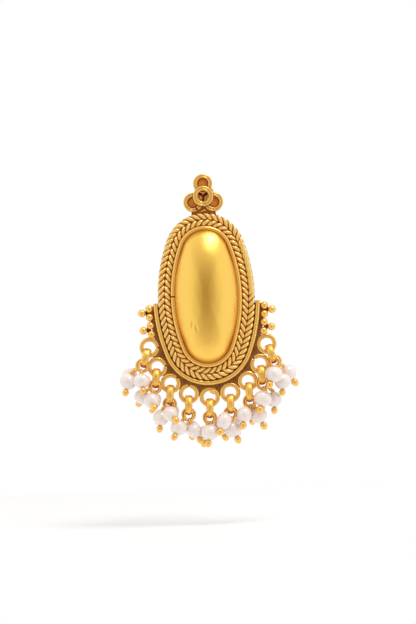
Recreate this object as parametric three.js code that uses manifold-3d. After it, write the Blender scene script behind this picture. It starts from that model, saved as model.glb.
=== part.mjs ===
// Pearl drop earring in antique gold: a hollow dome in an oval setting with a braided border,
// a crown of three cups, and nine drops of three pearls hung from rings round the lower edge.
// Millimetres, +Z up. The face looks along -Y. The origin is on the back of the face, at the ear post.

import * as THREE from "three";
import { mergeVertices } from "three/addons/utils/BufferGeometryUtils.js";
import Module from "manifold-3d";

const wasm = await Module();
wasm.setup();

// The oval: four tangent arcs round the seat of the dome. Every border line is an offset of it.
const OVAL_DROP = 20.0;
const OVAL_HALF_WIDTH = 6.35;
const OVAL_HALF_HEIGHT = 13.35;
const OVAL_END_RADIUS = 4.75;
const OVAL_STEPS = 36;

// Clearance between loose pieces, and how deep soldered pieces sink into one another.
const GAP = 0.1;
const SOLDER = 0.25;

// Sides of the meshed round pieces: turned pieces and holes, rings, links, balls and pins.
const TURNED_SIDES = 12;
const RING_SIDES = 10;
const RING_WIRE_SIDES = 5;
const LINK_WIRE_SIDES = 6;
const BALL_SIDES = 10;
const PIN_SIDES = 6;

// Back plate, and the thinner web behind the edge rings and the granules. The web runs past the centre
// of the last ring at each end by a share of the rings' pitch.
const PLATE_THICKNESS = 0.8;
const PLATE_OFFSET = 3.3;
const WEB_THICKNESS = 0.5;
const WEB_PAST_RINGS = 0.15;
const WEB_STEPS = 26;

// Bezel rim and rail: strips of wire with a rounded top, whose shoulder drops and whose top narrows
// by a share of the width. The rail covers a share of the oval on each side of its lowest point.
const STRIP_SHOULDER = 0.4;
const STRIP_INSET = 0.25;
const RIM_WIDTH = 0.75;
const RIM_HEIGHT = 2.6;
const RAIL_OFFSET = 3.88;
const RAIL_WIDTH = 1.0;
const RAIL_HEIGHT = 1.65;
const RAIL_REACH = 0.238;
const RAIL_STEPS = 28;

// Dome: a shell whose rows stand at these angles up the curve, in degrees from its foot.
const DOME_HEIGHT = 5.6;
const DOME_WALL = 0.5;
const DOME_FULLNESS = 2.3;
const DOME_SIDES = 28;
const DOME_INSIDE_ROWS = [75, 40, 0];
const DOME_OUTSIDE_ROWS = [0, 16, 32, 48, 64, 80];

// Braid: two ropes of three strands and opposite twist, each a three-cornered section that turns on its way.
const ROPE_DIAMETER = 1.16;
const ROPE_STRANDS = 3;
const ROPE_STEPS_PER_TURN = 8;
const ROPES = [
  { name: "braid_inner", offset: 1.42, turns: 20 },
  { name: "braid_outer", offset: 2.68, turns: -22 },
];

// Granules: two groups of three balls on each side, given for the right-hand side. Each group stands
// on a tab of the web that starts under the braid.
const GRANULE_RADIUS = 0.8;
const GRANULE_ROWS = 5;
const GRANULE_TAB_ROOT = 9;
const GRANULE_GROUPS = [
  [{ x: 11.5, y: -22.1 }, { x: 13.0, y: -22.95 }, { x: 11.45, y: -23.8 }],
  [{ x: 11.35, y: -25.45 }, { x: 12.8, y: -26.4 }, { x: 11.2, y: -27.2 }],
];

// Crown: three cups of two concentric wires, and a raised open ring of the same make over their meeting.
const CUP_RADIUS = 1.92;
const CUP_HOLE_RADIUS = 1.1;
const CUP_HEIGHT = 1.5;
const CUPS = [{ x: 0, y: 2.54 }, { x: -2.06, y: -1.14 }, { x: 2.06, y: -1.14 }];
const CUP_WIRES = [
  { across: 0, up: 0 }, { across: 0, up: 0.9 }, { across: 0.25, up: 1 }, { across: 0.46, up: 0.7 },
  { across: 0.75, up: 0.85 }, { across: 1, up: 0.6 }, { across: 1, up: 0 }, { across: 0, up: 0 },
];
const CROWN_RING_RADIUS = 2.04;
const CROWN_RING_LIFT = 1.15;
const CROWN_NECK = { halfWidth: 2.2, top: -1, foot: -4.5 };

// Edge rings: nine round wire rings along an offset of the oval, soldered to the web.
const RING_COUNT = 9;
const RING_OFFSET = 6.72;
const RING_PITCH = 4.22;
const RING_RADIUS = 1.6;
const RING_WIRE = 0.8;

// Links: oval rings of a broad band, each hung edge-on through an edge ring.
const LINK_LENGTH = 4.0;
const LINK_DEPTH = 3.3;
const LINK_BAND = 0.8;
const LINK_WIDTH = 1.45;
const LINK_HANG = 0.66;

// Head pins: a thin ring on the link's lower bend, tilted a little, carries three pins, each with
// a wrapped neck, a shank through its pearl and a ball head.
const PIN_WIRE = 0.4;
const PIN_RING_RADIUS = 1.22;
const PIN_RING_HANG = 0.26;
const PIN_RING_TILT = -6;
const NECK_RADIUS = 0.34;
const HEAD_RADIUS = 0.6;
const HEAD_ROWS = [{ along: 0.55, radius: 1 }, { along: 1.2, radius: 1 }, { along: 1.9, radius: 0.5 }];
const PEARL_BORE = 0.66;
const PEARL_ROWS = 4;

// Each drop: where its link crosses the edge ring, how the link leans and how its pin ring hangs,
// in degrees from straight down, and how far round the link's bend to the front that ring has slid.
const DROPS = [
  { hang: -25, lean: -18, ringLean: -42, bend: 32 },
  { hang: -10, lean: -6, ringLean: -10, bend: 32 },
  { hang: -5, lean: -5, ringLean: 0, bend: 0 },
  { hang: -3, lean: -3, ringLean: 5, bend: 0 },
  { hang: 0, lean: -3, ringLean: 2, bend: 0 },
  { hang: 0, lean: -1, ringLean: 5, bend: 0 },
  { hang: 7, lean: 2, ringLean: 5, bend: 0 },
  { hang: 8, lean: 3, ringLean: 25, bend: 32 },
  { hang: 25, lean: 18, ringLean: 42, bend: 32 },
];

// Each pearl: its drop, its centre, the lean of its pin in the face and its tilt towards the viewer
// in degrees, and its width and length.
const PEARLS = [
  { drop: 1, x: -16.2, y: -36.5, out: 0.4, lean: -15, tilt: 10, width: 3.0, length: 3.1 },
  { drop: 1, x: -13.4, y: -36.4, out: 2.9, lean: 6, tilt: 25, width: 3.1, length: 2.8 },
  { drop: 1, x: -15.9, y: -35.3, out: -2.3, lean: -40, tilt: -30, width: 2.9, length: 2.9 },
  { drop: 2, x: -11.5, y: -40.5, out: 2.4, lean: 20, tilt: 58, width: 3.2, length: 3.0 },
  { drop: 2, x: -13.6, y: -39.6, out: -0.3, lean: -25, tilt: -42, width: 2.9, length: 2.9 },
  { drop: 2, x: -11.2, y: -40.4, out: -2.0, lean: -13, tilt: -15, width: 2.9, length: 2.9 },
  { drop: 3, x: -9.9, y: -43.9, out: 0, lean: -8, tilt: 0, width: 3.1, length: 3.1 },
  { drop: 3, x: -7.9, y: -43.1, out: 2.7, lean: 40, tilt: 45, width: 3.0, length: 2.9 },
  { drop: 3, x: -7.7, y: -42.7, out: -2.0, lean: 5, tilt: -40, width: 2.9, length: 2.9 },
  { drop: 4, x: -6.4, y: -46.0, out: 1.0, lean: -27, tilt: 30, width: 3.2, length: 3.1 },
  { drop: 4, x: -3.3, y: -46.7, out: 0.4, lean: 30, tilt: 0, width: 2.8, length: 3.0 },
  { drop: 4, x: -3.9, y: -46.3, out: -2.65, lean: 5, tilt: -38, width: 2.9, length: 2.9 },
  { drop: 5, x: -0.2, y: -47.1, out: 1.5, lean: -10, tilt: 10, width: 3.3, length: 3.0 },
  { drop: 5, x: -1.0, y: -47.3, out: -1.8, lean: -11, tilt: -10, width: 2.9, length: 2.9 },
  { drop: 5, x: 1.9, y: -46.4, out: -1.4, lean: 28, tilt: -15, width: 2.8, length: 2.9 },
  { drop: 6, x: 2.7, y: -44.9, out: 2.5, lean: -22, tilt: 20, width: 3.0, length: 3.3 },
  { drop: 6, x: 4.4, y: -46.7, out: 0.4, lean: 25, tilt: 0, width: 3.2, length: 3.1 },
  { drop: 6, x: 4.8, y: -45.9, out: -2.8, lean: 20, tilt: -35, width: 2.9, length: 2.9 },
  { drop: 7, x: 6.8, y: -43.7, out: 1.8, lean: -9, tilt: 10, width: 3.0, length: 3.0 },
  { drop: 7, x: 9.7, y: -44.1, out: 0.6, lean: 24, tilt: 0, width: 3.2, length: 3.0 },
  { drop: 7, x: 8.2, y: -43.4, out: -2.1, lean: 6, tilt: -25, width: 2.9, length: 2.9 },
  { drop: 8, x: 10.6, y: -40.7, out: 2.3, lean: -20, tilt: 15, width: 3.3, length: 3.1 },
  { drop: 8, x: 12.8, y: -41.0, out: 0, lean: 1, tilt: 0, width: 3.0, length: 3.0 },
  { drop: 8, x: 10.6, y: -40.9, out: -2.3, lean: -5, tilt: -25, width: 2.9, length: 2.9 },
  { drop: 9, x: 12.9, y: -35.9, out: 3.1, lean: -25, tilt: 15, width: 3.2, length: 3.1 },
  { drop: 9, x: 14.6, y: -37.4, out: 1.0, lean: -2, tilt: 0, width: 3.0, length: 3.0 },
  { drop: 9, x: 15.9, y: -35.8, out: -1.3, lean: 33, tilt: 0, width: 3.0, length: 3.1 },
];

// Ear post, hidden behind the crown.
const POST_RADIUS = 0.45;
const POST_LENGTH = 10.5;
const POST_PAD_RADIUS = 1.6;
const POST_PAD_THICKNESS = 0.5;

const GOLD = { color: 0xe2ab45, roughness: 0.28, metalness: 1 };
const DARK_GOLD = { color: 0xc98d33, roughness: 0.4, metalness: 1 };
const PEARL = { color: 0xeee6e3, roughness: 0.22, metalness: 0 };

const degrees = THREE.MathUtils.degToRad;

function manifoldOf(geometry) {
  const bare = geometry.clone();
  bare.deleteAttribute("normal");
  bare.deleteAttribute("uv");
  const merged = mergeVertices(bare, 1e-4);
  return new wasm.Manifold(new wasm.Mesh({
    numProp: 3,
    vertProperties: new Float32Array(merged.attributes.position.array),
    triVerts: new Uint32Array(merged.index.array),
  }));
}

function geometryOf(solid) {
  const mesh = solid.getMesh();
  const geometry = new THREE.BufferGeometry();
  geometry.setAttribute("position", new THREE.BufferAttribute(mesh.vertProperties, 3));
  geometry.setIndex(new THREE.BufferAttribute(mesh.triVerts, 1));
  return geometry;
}

function joined(geometries) {
  return geometries.map(manifoldOf).reduce((sum, solid) => sum.add(solid));
}

// A point and its outward normal on an offset of the oval, t of the way round from its lowest point.
function ovalAt(t, offset) {
  const endRise = OVAL_HALF_HEIGHT - OVAL_END_RADIUS;
  const sideRadius = (OVAL_HALF_WIDTH ** 2 + endRise ** 2 - OVAL_END_RADIUS ** 2)
    / (2 * (OVAL_HALF_WIDTH - OVAL_END_RADIUS));
  const sideShift = sideRadius - OVAL_HALF_WIDTH;
  const join = Math.atan2(endRise, sideShift);
  const end = OVAL_END_RADIUS + offset;
  const side = sideRadius + offset;
  const arcs = [
    { x: 0, y: -endRise, radius: end, from: -Math.PI / 2, to: -join },
    { x: -sideShift, y: 0, radius: side, from: -join, to: join },
    { x: 0, y: endRise, radius: end, from: join, to: Math.PI - join },
    { x: sideShift, y: 0, radius: side, from: Math.PI - join, to: Math.PI + join },
    { x: 0, y: -endRise, radius: end, from: Math.PI + join, to: Math.PI * 1.5 },
  ];
  const lengthOf = (arc) => arc.radius * (arc.to - arc.from);
  const total = arcs.reduce((sum, arc) => sum + lengthOf(arc), 0);
  let left = THREE.MathUtils.euclideanModulo(t, 1) * total;
  let at = 0;
  while (at < arcs.length - 1 && left > lengthOf(arcs[at])) {
    left -= lengthOf(arcs[at]);
    at += 1;
  }
  const arc = arcs[at];
  const angle = arc.from + left / arc.radius;
  const normal = new THREE.Vector2(Math.cos(angle), Math.sin(angle));
  const point = new THREE.Vector2(arc.x, arc.y - OVAL_DROP).addScaledVector(normal, arc.radius);
  return { point, normal, total };
}

function ovalOutline(offset, steps) {
  return Array.from({ length: steps }, (_, i) => ovalAt(i / steps, offset).point);
}

// A skin over a row of closed rings of points; the ends are fanned shut unless the row closes on itself.
// Each patch is split along the diagonal that leans with the twist of the row.
function loft(rings, closed, leftHanded = true) {
  const sides = rings[0].length;
  const points = rings.flat();
  const index = [];
  const last = closed ? rings.length : rings.length - 1;
  for (let i = 0; i < last; i += 1) {
    for (let j = 0; j < sides; j += 1) {
      const next = (i + 1) % rings.length;
      const [a, b] = [i * sides + j, i * sides + ((j + 1) % sides)];
      const [c, d] = [next * sides + j, next * sides + ((j + 1) % sides)];
      index.push(...(leftHanded ? [a, b, d, a, d, c] : [a, b, c, b, d, c]));
    }
  }
  if (!closed) {
    for (const [ring, flip] of [[rings[0], true], [rings[rings.length - 1], false]]) {
      const middle = ring.reduce((sum, p) => sum.add(p), new THREE.Vector3()).divideScalar(sides);
      const start = points.length;
      points.push(...ring, middle);
      for (let j = 0; j < sides; j += 1) {
        const pair = [start + j, start + ((j + 1) % sides)];
        index.push(...(flip ? pair.reverse() : pair), start + sides);
      }
    }
  }
  const geometry = new THREE.BufferGeometry().setFromPoints(points);
  geometry.setIndex(index);
  return mergeVertices(geometry, 1e-4);
}

// Carries a section round an offset of the oval; its points are (outwards, height), counter-clockwise.
function ovalSweep(offset, section, from, to, steps, closed, leftHanded = true) {
  const rings = [];
  for (let i = 0; i < (closed ? steps : steps + 1); i += 1) {
    const t = from + ((to - from) * i) / steps;
    const { point, normal } = ovalAt(t, offset);
    rings.push(section(t).map(([outwards, height]) => new THREE.Vector3(
      point.x + normal.x * outwards, point.y + normal.y * outwards, height)).reverse());
  }
  return loft(rings, closed, leftHanded);
}

// A strip of wire with a rounded top, sunk to the solder depth in the plate.
function roundedStrip(from, to, height) {
  const foot = WEB_THICKNESS - SOLDER;
  const width = to - from;
  const shoulder = height - width * STRIP_SHOULDER;
  const inset = width * STRIP_INSET;
  return [[from, foot], [to, foot], [to, shoulder], [to - inset, height], [from + inset, height],
    [from, shoulder]];
}

function extruded(points, thickness) {
  return new THREE.ExtrudeGeometry(new THREE.Shape(points), { depth: thickness, bevelEnabled: false });
}

function ringCentre(number) {
  const t = (number - (RING_COUNT + 1) / 2) * RING_PITCH / ovalAt(0, RING_OFFSET).total;
  return ovalAt(t, RING_OFFSET).point;
}

// Two concentric wires about the Z axis, the inner one higher, as one turned piece.
function doubleWire(radius, foot, height) {
  const span = radius - CUP_HOLE_RADIUS;
  const points = CUP_WIRES.map(({ across, up }) => new THREE.Vector2(
    CUP_HOLE_RADIUS + across * span, foot + up * (height - foot)));
  return new THREE.LatheGeometry(points.reverse(), TURNED_SIDES).rotateX(Math.PI / 2);
}

// A round disc or drill about the Z axis, its middle at the given height.
function turnedDisc(radius, thickness, height) {
  return new THREE.CylinderGeometry(radius, radius, thickness, TURNED_SIDES)
    .rotateX(Math.PI / 2).translate(0, 0, height);
}

function webOutline() {
  const end = ((RING_COUNT - 1) / 2 + WEB_PAST_RINGS) * RING_PITCH / ovalAt(0, RING_OFFSET).total;
  return Array.from({ length: WEB_STEPS + 1 }, (_, i) => (
    ovalAt(-end + (2 * end * i) / WEB_STEPS, RING_OFFSET).point));
}

function neckOutline() {
  const { halfWidth, top, foot } = CROWN_NECK;
  return [[-halfWidth, foot], [halfWidth, foot], [halfWidth, top], [-halfWidth, top]]
    .map(([x, y]) => new THREE.Vector2(x, y));
}

function tabOutline(group, side) {
  const first = group[0];
  const last = group[group.length - 1];
  const outline = [{ x: GRANULE_TAB_ROOT, y: first.y }, ...group, { x: GRANULE_TAB_ROOT, y: last.y }]
    .map(({ x, y }) => new THREE.Vector2(side * x, y));
  return side > 0 ? outline.reverse() : outline;
}

function plateAndWeb() {
  const pieces = [
    extruded(ovalOutline(PLATE_OFFSET, OVAL_STEPS), PLATE_THICKNESS),
    extruded(webOutline(), WEB_THICKNESS),
    extruded(CUPS.map(({ x, y }) => new THREE.Vector2(x, y)), PLATE_THICKNESS),
    extruded(neckOutline(), PLATE_THICKNESS),
  ];
  for (const { x, y } of CUPS) {
    pieces.push(turnedDisc(CUP_RADIUS - SOLDER, PLATE_THICKNESS, PLATE_THICKNESS / 2).translate(x, y, 0));
  }
  for (const side of [-1, 1]) {
    for (const group of GRANULE_GROUPS) pieces.push(extruded(tabOutline(group, side), WEB_THICKNESS));
  }
  let plate = joined(pieces);
  for (let number = 1; number <= RING_COUNT; number += 1) {
    const { x, y } = ringCentre(number);
    plate = plate.subtract(manifoldOf(turnedDisc(RING_RADIUS, 4 * WEB_THICKNESS, 0).translate(x, y, 0)));
  }
  return plate;
}

function settingGeometry() {
  const rim = roundedStrip(0, RIM_WIDTH, RIM_HEIGHT);
  const rail = roundedStrip(-RAIL_WIDTH / 2, RAIL_WIDTH / 2, RAIL_HEIGHT);
  const pieces = [
    ovalSweep(0, () => rim, 0, 1, OVAL_STEPS, true),
    ovalSweep(RAIL_OFFSET, () => rail, -RAIL_REACH, RAIL_REACH, RAIL_STEPS, false),
    doubleWire(CROWN_RING_RADIUS, CROWN_RING_LIFT, CROWN_RING_LIFT + CUP_HEIGHT),
  ];
  for (const { x, y } of CUPS) {
    pieces.push(doubleWire(CUP_RADIUS, SOLDER, CUP_HEIGHT).translate(x, y, 0));
  }
  for (const side of [-1, 1]) {
    for (const { x, y } of GRANULE_GROUPS.flat()) {
      pieces.push(new THREE.SphereGeometry(GRANULE_RADIUS, BALL_SIDES, GRANULE_ROWS).rotateX(Math.PI / 2)
        .translate(side * x, y, GRANULE_RADIUS));
    }
  }
  for (let number = 1; number <= RING_COUNT; number += 1) {
    const { x, y } = ringCentre(number);
    pieces.push(new THREE.TorusGeometry(RING_RADIUS, RING_WIRE / 2, RING_WIRE_SIDES, RING_SIDES)
      .translate(x, y, WEB_THICKNESS));
  }
  return geometryOf(plateAndWeb().add(joined(pieces)));
}

// The dome is a shell: its section runs down the inside from a pole, round the foot and up the outside.
function domeGeometry() {
  const foot = PLATE_THICKNESS + GAP;
  const edge = ovalOutline(-GAP, DOME_SIDES);
  const centre = new THREE.Vector2(0, -OVAL_DROP);
  const row = (lift, spread, height) => edge.map((point) => {
    const { x, y } = point.clone().sub(centre).multiplyScalar(spread).add(centre);
    return new THREE.Vector3(x, y, foot + lift * height);
  });
  const skin = (angles, scale, height) => angles.map((angle) => (
    row(Math.sin(degrees(angle)), scale * Math.cos(degrees(angle)) ** (2 / DOME_FULLNESS), height)));
  const inside = 1 - DOME_WALL / OVAL_HALF_WIDTH;
  return loft([
    ...skin(DOME_INSIDE_ROWS, inside, DOME_HEIGHT - DOME_WALL),
    ...skin(DOME_OUTSIDE_ROWS, 1, DOME_HEIGHT),
  ], false);
}

function ropeGeometry({ offset, turns }) {
  const height = PLATE_THICKNESS + GAP + ROPE_DIAMETER / 2;
  const section = (t) => Array.from({ length: ROPE_STRANDS }, (_, strand) => {
    const angle = 2 * Math.PI * (turns * t + strand / ROPE_STRANDS);
    return [(ROPE_DIAMETER / 2) * Math.cos(angle), height + (ROPE_DIAMETER / 2) * Math.sin(angle)];
  });
  return ovalSweep(offset, section, 0, 1, Math.abs(turns) * ROPE_STEPS_PER_TURN, true, turns > 0);
}

function postGeometry() {
  const back = -GAP;
  const pad = back - POST_PAD_THICKNESS;
  const tip = back - POST_LENGTH;
  const points = [[0, tip], [POST_RADIUS, tip + POST_RADIUS], [POST_RADIUS, pad], [POST_PAD_RADIUS, pad],
    [POST_PAD_RADIUS, back], [0, back]];
  const profile = points.map(([radius, along]) => new THREE.Vector2(radius, along));
  return new THREE.LatheGeometry(profile, TURNED_SIDES).rotateX(Math.PI / 2);
}

function downAt(angle) {
  return new THREE.Vector3(Math.sin(degrees(angle)), -Math.cos(degrees(angle)), 0);
}

function linkCentre(number) {
  const { hang, lean } = DROPS[number - 1];
  const { x, y } = ringCentre(number);
  return new THREE.Vector3(x, y, WEB_THICKNESS)
    .addScaledVector(downAt(hang), RING_RADIUS)
    .addScaledVector(downAt(lean), LINK_HANG);
}

function pinRingCentre(number) {
  const { lean, ringLean, bend } = DROPS[number - 1];
  const bandLength = (LINK_LENGTH - LINK_BAND) / 2;
  const bandDepth = bandLength * LINK_DEPTH / LINK_LENGTH;
  return linkCentre(number)
    .addScaledVector(downAt(lean), bandLength * Math.cos(degrees(bend)))
    .addScaledVector(downAt(ringLean), PIN_RING_HANG)
    .add(new THREE.Vector3(0, 0, bandDepth * Math.sin(degrees(bend))));
}

function linkGeometry() {
  const middle = (LINK_LENGTH - LINK_BAND) / 2;
  return new THREE.TorusGeometry(middle, LINK_BAND / 2, LINK_WIRE_SIDES, RING_SIDES)
    .scale(LINK_DEPTH / LINK_LENGTH, 1, LINK_WIDTH / LINK_BAND)
    .rotateY(Math.PI / 2);
}

// A pearl's axis points from the link's side to the ball head.
function pearlAxis({ lean, tilt }) {
  const flat = Math.cos(degrees(tilt));
  return new THREE.Vector3(
    flat * Math.sin(degrees(lean)), -flat * Math.cos(degrees(lean)), Math.sin(degrees(tilt)));
}

function pearlCentre({ x, y, out }) {
  return new THREE.Vector3(x, y, out);
}

function pearlGeometry({ width, length }) {
  const first = Math.asin(PEARL_BORE / width);
  const points = Array.from({ length: PEARL_ROWS + 1 }, (_, i) => {
    const angle = first + ((Math.PI - 2 * first) * i) / PEARL_ROWS;
    return new THREE.Vector2((width / 2) * Math.sin(angle), -(length / 2) * Math.cos(angle));
  });
  points.push(points[0].clone());
  return new THREE.LatheGeometry(points, BALL_SIDES);
}

function pinRing(number) {
  const { x, y, z } = pinRingCentre(number);
  return new THREE.TorusGeometry(PIN_RING_RADIUS, PIN_WIRE / 2, RING_WIRE_SIDES, RING_SIDES)
    .rotateX(degrees(PIN_RING_TILT)).translate(x, y, z);
}

// A pin leaves the ring at the point nearest to its pearl.
function pinStem(pearl) {
  const axis = pearlAxis(pearl);
  const neckFoot = pearlCentre(pearl).addScaledVector(axis, -pearl.length / 2 - GAP);
  const centre = pinRingCentre(pearl.drop);
  const towards = neckFoot.clone().sub(centre).setZ(0).normalize()
    .applyAxisAngle(new THREE.Vector3(1, 0, 0), degrees(PIN_RING_TILT));
  const neckTop = centre.addScaledVector(towards, PIN_RING_RADIUS);
  const shank = PIN_WIRE / 2;
  const head = pearl.length + 2 * GAP;
  const turn = new THREE.Quaternion().setFromUnitVectors(new THREE.Vector3(0, 1, 0), axis);
  const ring = (middle, radius) => Array.from({ length: PIN_SIDES }, (_, i) => {
    const angle = (-2 * Math.PI * i) / PIN_SIDES;
    return new THREE.Vector3(radius * Math.cos(angle), 0, radius * Math.sin(angle))
      .applyQuaternion(turn).add(middle);
  });
  const ringAlong = (along, radius) => ring(neckFoot.clone().addScaledVector(axis, along), radius);
  return loft([
    ring(neckTop, NECK_RADIUS),
    ringAlong(0, shank),
    ringAlong(head, shank),
    ...HEAD_ROWS.map(({ along, radius }) => ringAlong(head + along * HEAD_RADIUS, radius * HEAD_RADIUS)),
  ], false);
}

function piece(name, geometry, finish) {
  const mesh = new THREE.Mesh(geometry, new THREE.MeshStandardMaterial(finish));
  mesh.name = name;
  return mesh;
}

function dropPieces(number) {
  const link = piece(`link_${number}`, linkGeometry(), GOLD);
  link.position.copy(linkCentre(number));
  link.rotation.z = degrees(DROPS[number - 1].lean);
  const pearls = PEARLS.filter(({ drop }) => drop === number);
  const wires = joined([pinRing(number), ...pearls.map(pinStem)]);
  const pins = piece(`pins_${number}`, geometryOf(wires), DARK_GOLD);
  const beads = pearls.map((pearl, i) => {
    const bead = piece(`pearl_${number}${"abc"[i]}`, pearlGeometry(pearl), PEARL);
    bead.position.copy(pearlCentre(pearl));
    bead.quaternion.setFromUnitVectors(new THREE.Vector3(0, 1, 0), pearlAxis(pearl));
    return bead;
  });
  return [link, pins, ...beads];
}

// The face is modelled flat, x right, y up and z towards the viewer, and stood up by one turn.
const face = new THREE.Group();
face.rotation.x = Math.PI / 2;
face.add(piece("setting", settingGeometry(), GOLD));
face.add(piece("dome", domeGeometry(), GOLD));
for (const rope of ROPES) face.add(piece(rope.name, ropeGeometry(rope), GOLD));
face.add(piece("ear_post", postGeometry(), GOLD));
for (let number = 1; number <= RING_COUNT; number += 1) face.add(...dropPieces(number));

const earring = new THREE.Group();
earring.add(face);

export default earring;
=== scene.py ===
# %% [markdown]
# Pearl drop earring in antique gold.
#
# The real one is soldered from many small things: a plate, wires, balls, cups and a raised dome, with
# pearls hung below it on links and head pins. Each could be pushed into shape by hand in Blender. But
# each also has a simple formula, so here each is worked out as a surface on a grid of points: that is
# exact, and a size is changed by changing one number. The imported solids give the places, and this file
# gives the finer forms and the finish.

import bpy
import numpy as np
from mathutils import Matrix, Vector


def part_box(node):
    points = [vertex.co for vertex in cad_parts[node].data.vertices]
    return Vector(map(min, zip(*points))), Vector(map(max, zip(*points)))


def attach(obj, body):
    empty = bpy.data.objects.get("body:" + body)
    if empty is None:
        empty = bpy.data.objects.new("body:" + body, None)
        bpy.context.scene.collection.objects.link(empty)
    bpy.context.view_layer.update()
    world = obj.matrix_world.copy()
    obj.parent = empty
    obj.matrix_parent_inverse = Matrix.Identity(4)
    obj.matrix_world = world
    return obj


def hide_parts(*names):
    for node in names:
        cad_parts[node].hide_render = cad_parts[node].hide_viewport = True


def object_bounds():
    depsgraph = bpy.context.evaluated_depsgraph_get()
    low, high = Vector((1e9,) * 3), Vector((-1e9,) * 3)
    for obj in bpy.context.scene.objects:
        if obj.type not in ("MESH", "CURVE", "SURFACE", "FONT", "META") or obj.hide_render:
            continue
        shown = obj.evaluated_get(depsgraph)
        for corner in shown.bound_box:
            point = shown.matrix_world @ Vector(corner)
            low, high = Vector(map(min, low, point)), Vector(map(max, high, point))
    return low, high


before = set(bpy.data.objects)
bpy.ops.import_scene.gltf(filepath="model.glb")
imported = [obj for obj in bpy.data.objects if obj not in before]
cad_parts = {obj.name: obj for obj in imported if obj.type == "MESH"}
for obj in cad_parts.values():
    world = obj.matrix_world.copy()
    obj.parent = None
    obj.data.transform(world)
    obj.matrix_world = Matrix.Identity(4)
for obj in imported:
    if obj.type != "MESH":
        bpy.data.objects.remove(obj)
cad_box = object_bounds()
print("solids in the frame:", len(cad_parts))

# %% [markdown]
# The face of the earring is drawn as it lies on a jeweller's bench: x to the right, up, and out towards
# the viewer, all in millimetres. The frame is in metres, and there the face looks along -Y. Sizes could
# be typed in metres, but such work is measured in millimetres, so two functions turn one into the
# other.

# %% Millimetres on the bench and metres in the frame
MM = 0.001
RIGHT, UP, OUT = np.eye(3)


def on_bench(points):
    """Frame coordinates in metres as bench coordinates (x, up, out) in millimetres."""
    points = np.asarray(points, float) / MM
    return np.stack([points[..., 0], points[..., 2], -points[..., 1]], axis=-1)


def in_frame(points):
    """Bench coordinates (x, up, out) in millimetres as frame coordinates in metres."""
    return np.stack([points[..., 0], -points[..., 2], points[..., 1]], axis=-1) * MM


def middle_of(node):
    """The middle of a solid's box, on the bench."""
    low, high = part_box(node)
    return on_bench((np.array(low) + np.array(high)) / 2)


print("middle of the dome, in mm:", middle_of("dome").round(2))

# %% [markdown]
# Every piece is made of skins: grids of points whose rows follow a path and whose columns go round it.
# Modifiers could fill and close such surfaces, but a grid's faces are known beforehand, so they are
# counted out here in whole arrays. A skin that doesn't come back to its start gets a fan of triangles
# at each end, so each one is a closed body. Its volume, added up from thin pyramids that meet in the
# origin, tells whether it is inside out.

# %% Skins
def skin(points, loop=False, recess=0.0):
    """Corners, faces and darkening of one closed skin. points has rows along the path and columns round it.
    loop joins the last row to the first; recess is 0 on bright metal and 1 where it is darkest,
    with oxide and painted shade."""
    rows, columns = points.shape[:2]
    index = np.arange(rows * columns).reshape(rows, columns)
    here = index if loop else index[:-1]
    ahead = np.roll(index, -1, axis=0) if loop else index[1:]
    corners = points.reshape(-1, 3)
    shade_and_oxide = np.broadcast_to(recess, (rows, columns)).reshape(-1)
    a, b = here.ravel(), np.roll(here, -1, axis=1).ravel()
    c, d = np.roll(ahead, -1, axis=1).ravel(), ahead.ravel()
    faces = [np.stack([a, b, c], 1), np.stack([a, c, d], 1)]
    if not loop:
        for row, turn in ((index[0], 1), (index[-1], -1)):
            tip = np.full(columns, len(corners))
            faces.append(np.stack([row, tip, np.roll(row, -1)], 1)[:, ::turn])
            corners = np.vstack([corners, corners[row].mean(0)])
            shade_and_oxide = np.append(shade_and_oxide, shade_and_oxide[row].mean())
    faces = np.vstack(faces)
    p, q, r = (corners[faces[:, k]] for k in range(3))
    if np.einsum("ij,ij->i", p, np.cross(q, r)).sum() < 0:
        faces = faces[:, ::-1]
    return corners, faces, shade_and_oxide


print("triangles in a skin of 3 by 4 points:", len(skin(np.zeros((3, 4, 3)))[1]))

# %% [markdown]
# A piece is one Blender object: skins that are made of the same metal, joined in one mesh. It could be
# left flat shaded with many more faces, but smooth shading shows a round wire with few, and steep edges
# are marked sharp so that corners stay crisp. The attribute called recess goes with the mesh, for the
# materials to read. The piece then rides on the earring, takes its material, and stands for the solids
# under it.

# %% Pieces
SHARP_DEGREES = 55


def piece(name, skins, material, stands_for):
    """One object made of closed skins, smooth shaded, that rides on the earring."""
    starts = np.cumsum([0] + [len(corners) for corners, _, _ in skins])
    corners = in_frame(np.vstack([corners for corners, _, _ in skins]))
    faces = np.vstack([faces + start for (_, faces, _), start in zip(skins, starts)])
    shade_and_oxide = np.concatenate([recess for _, _, recess in skins])
    # The bench-to-frame turn keeps handedness, so the faces still point outwards.
    mesh = bpy.data.meshes.new(name)
    mesh.from_pydata(corners.tolist(), [], faces.tolist())
    # The recess attribute carries the darkening: oxide, and painted shade in hollows and under parts.
    mesh.attributes.new("recess", "FLOAT", "POINT").data.foreach_set("value", shade_and_oxide.astype(np.float32))
    mesh.polygons.foreach_set("use_smooth", np.ones(len(faces), bool))
    mesh.materials.append(material)
    mesh.update()
    mesh.set_sharp_from_angle(angle=np.radians(SHARP_DEGREES))
    made = bpy.data.objects.new(name, mesh)
    bpy.context.scene.collection.objects.link(made)
    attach(made, "root")
    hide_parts(*stands_for)
    print(f"{name}: {len(skins)} skins, {len(faces)} triangles")


# %% [markdown]
# Most of the earring is wire. A curve object with a round bevel gives plain wire, but here the
# thickness changes along the wire and round its section, for slits, bands and rope leaves. So the
# section is carried along the path by a formula, in which the radius may be any grid of numbers.

# %% Wires
def full_turn(steps):
    """The angles of equal steps once round a circle."""
    return np.linspace(0, 2 * np.pi, steps, endpoint=False)


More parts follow.
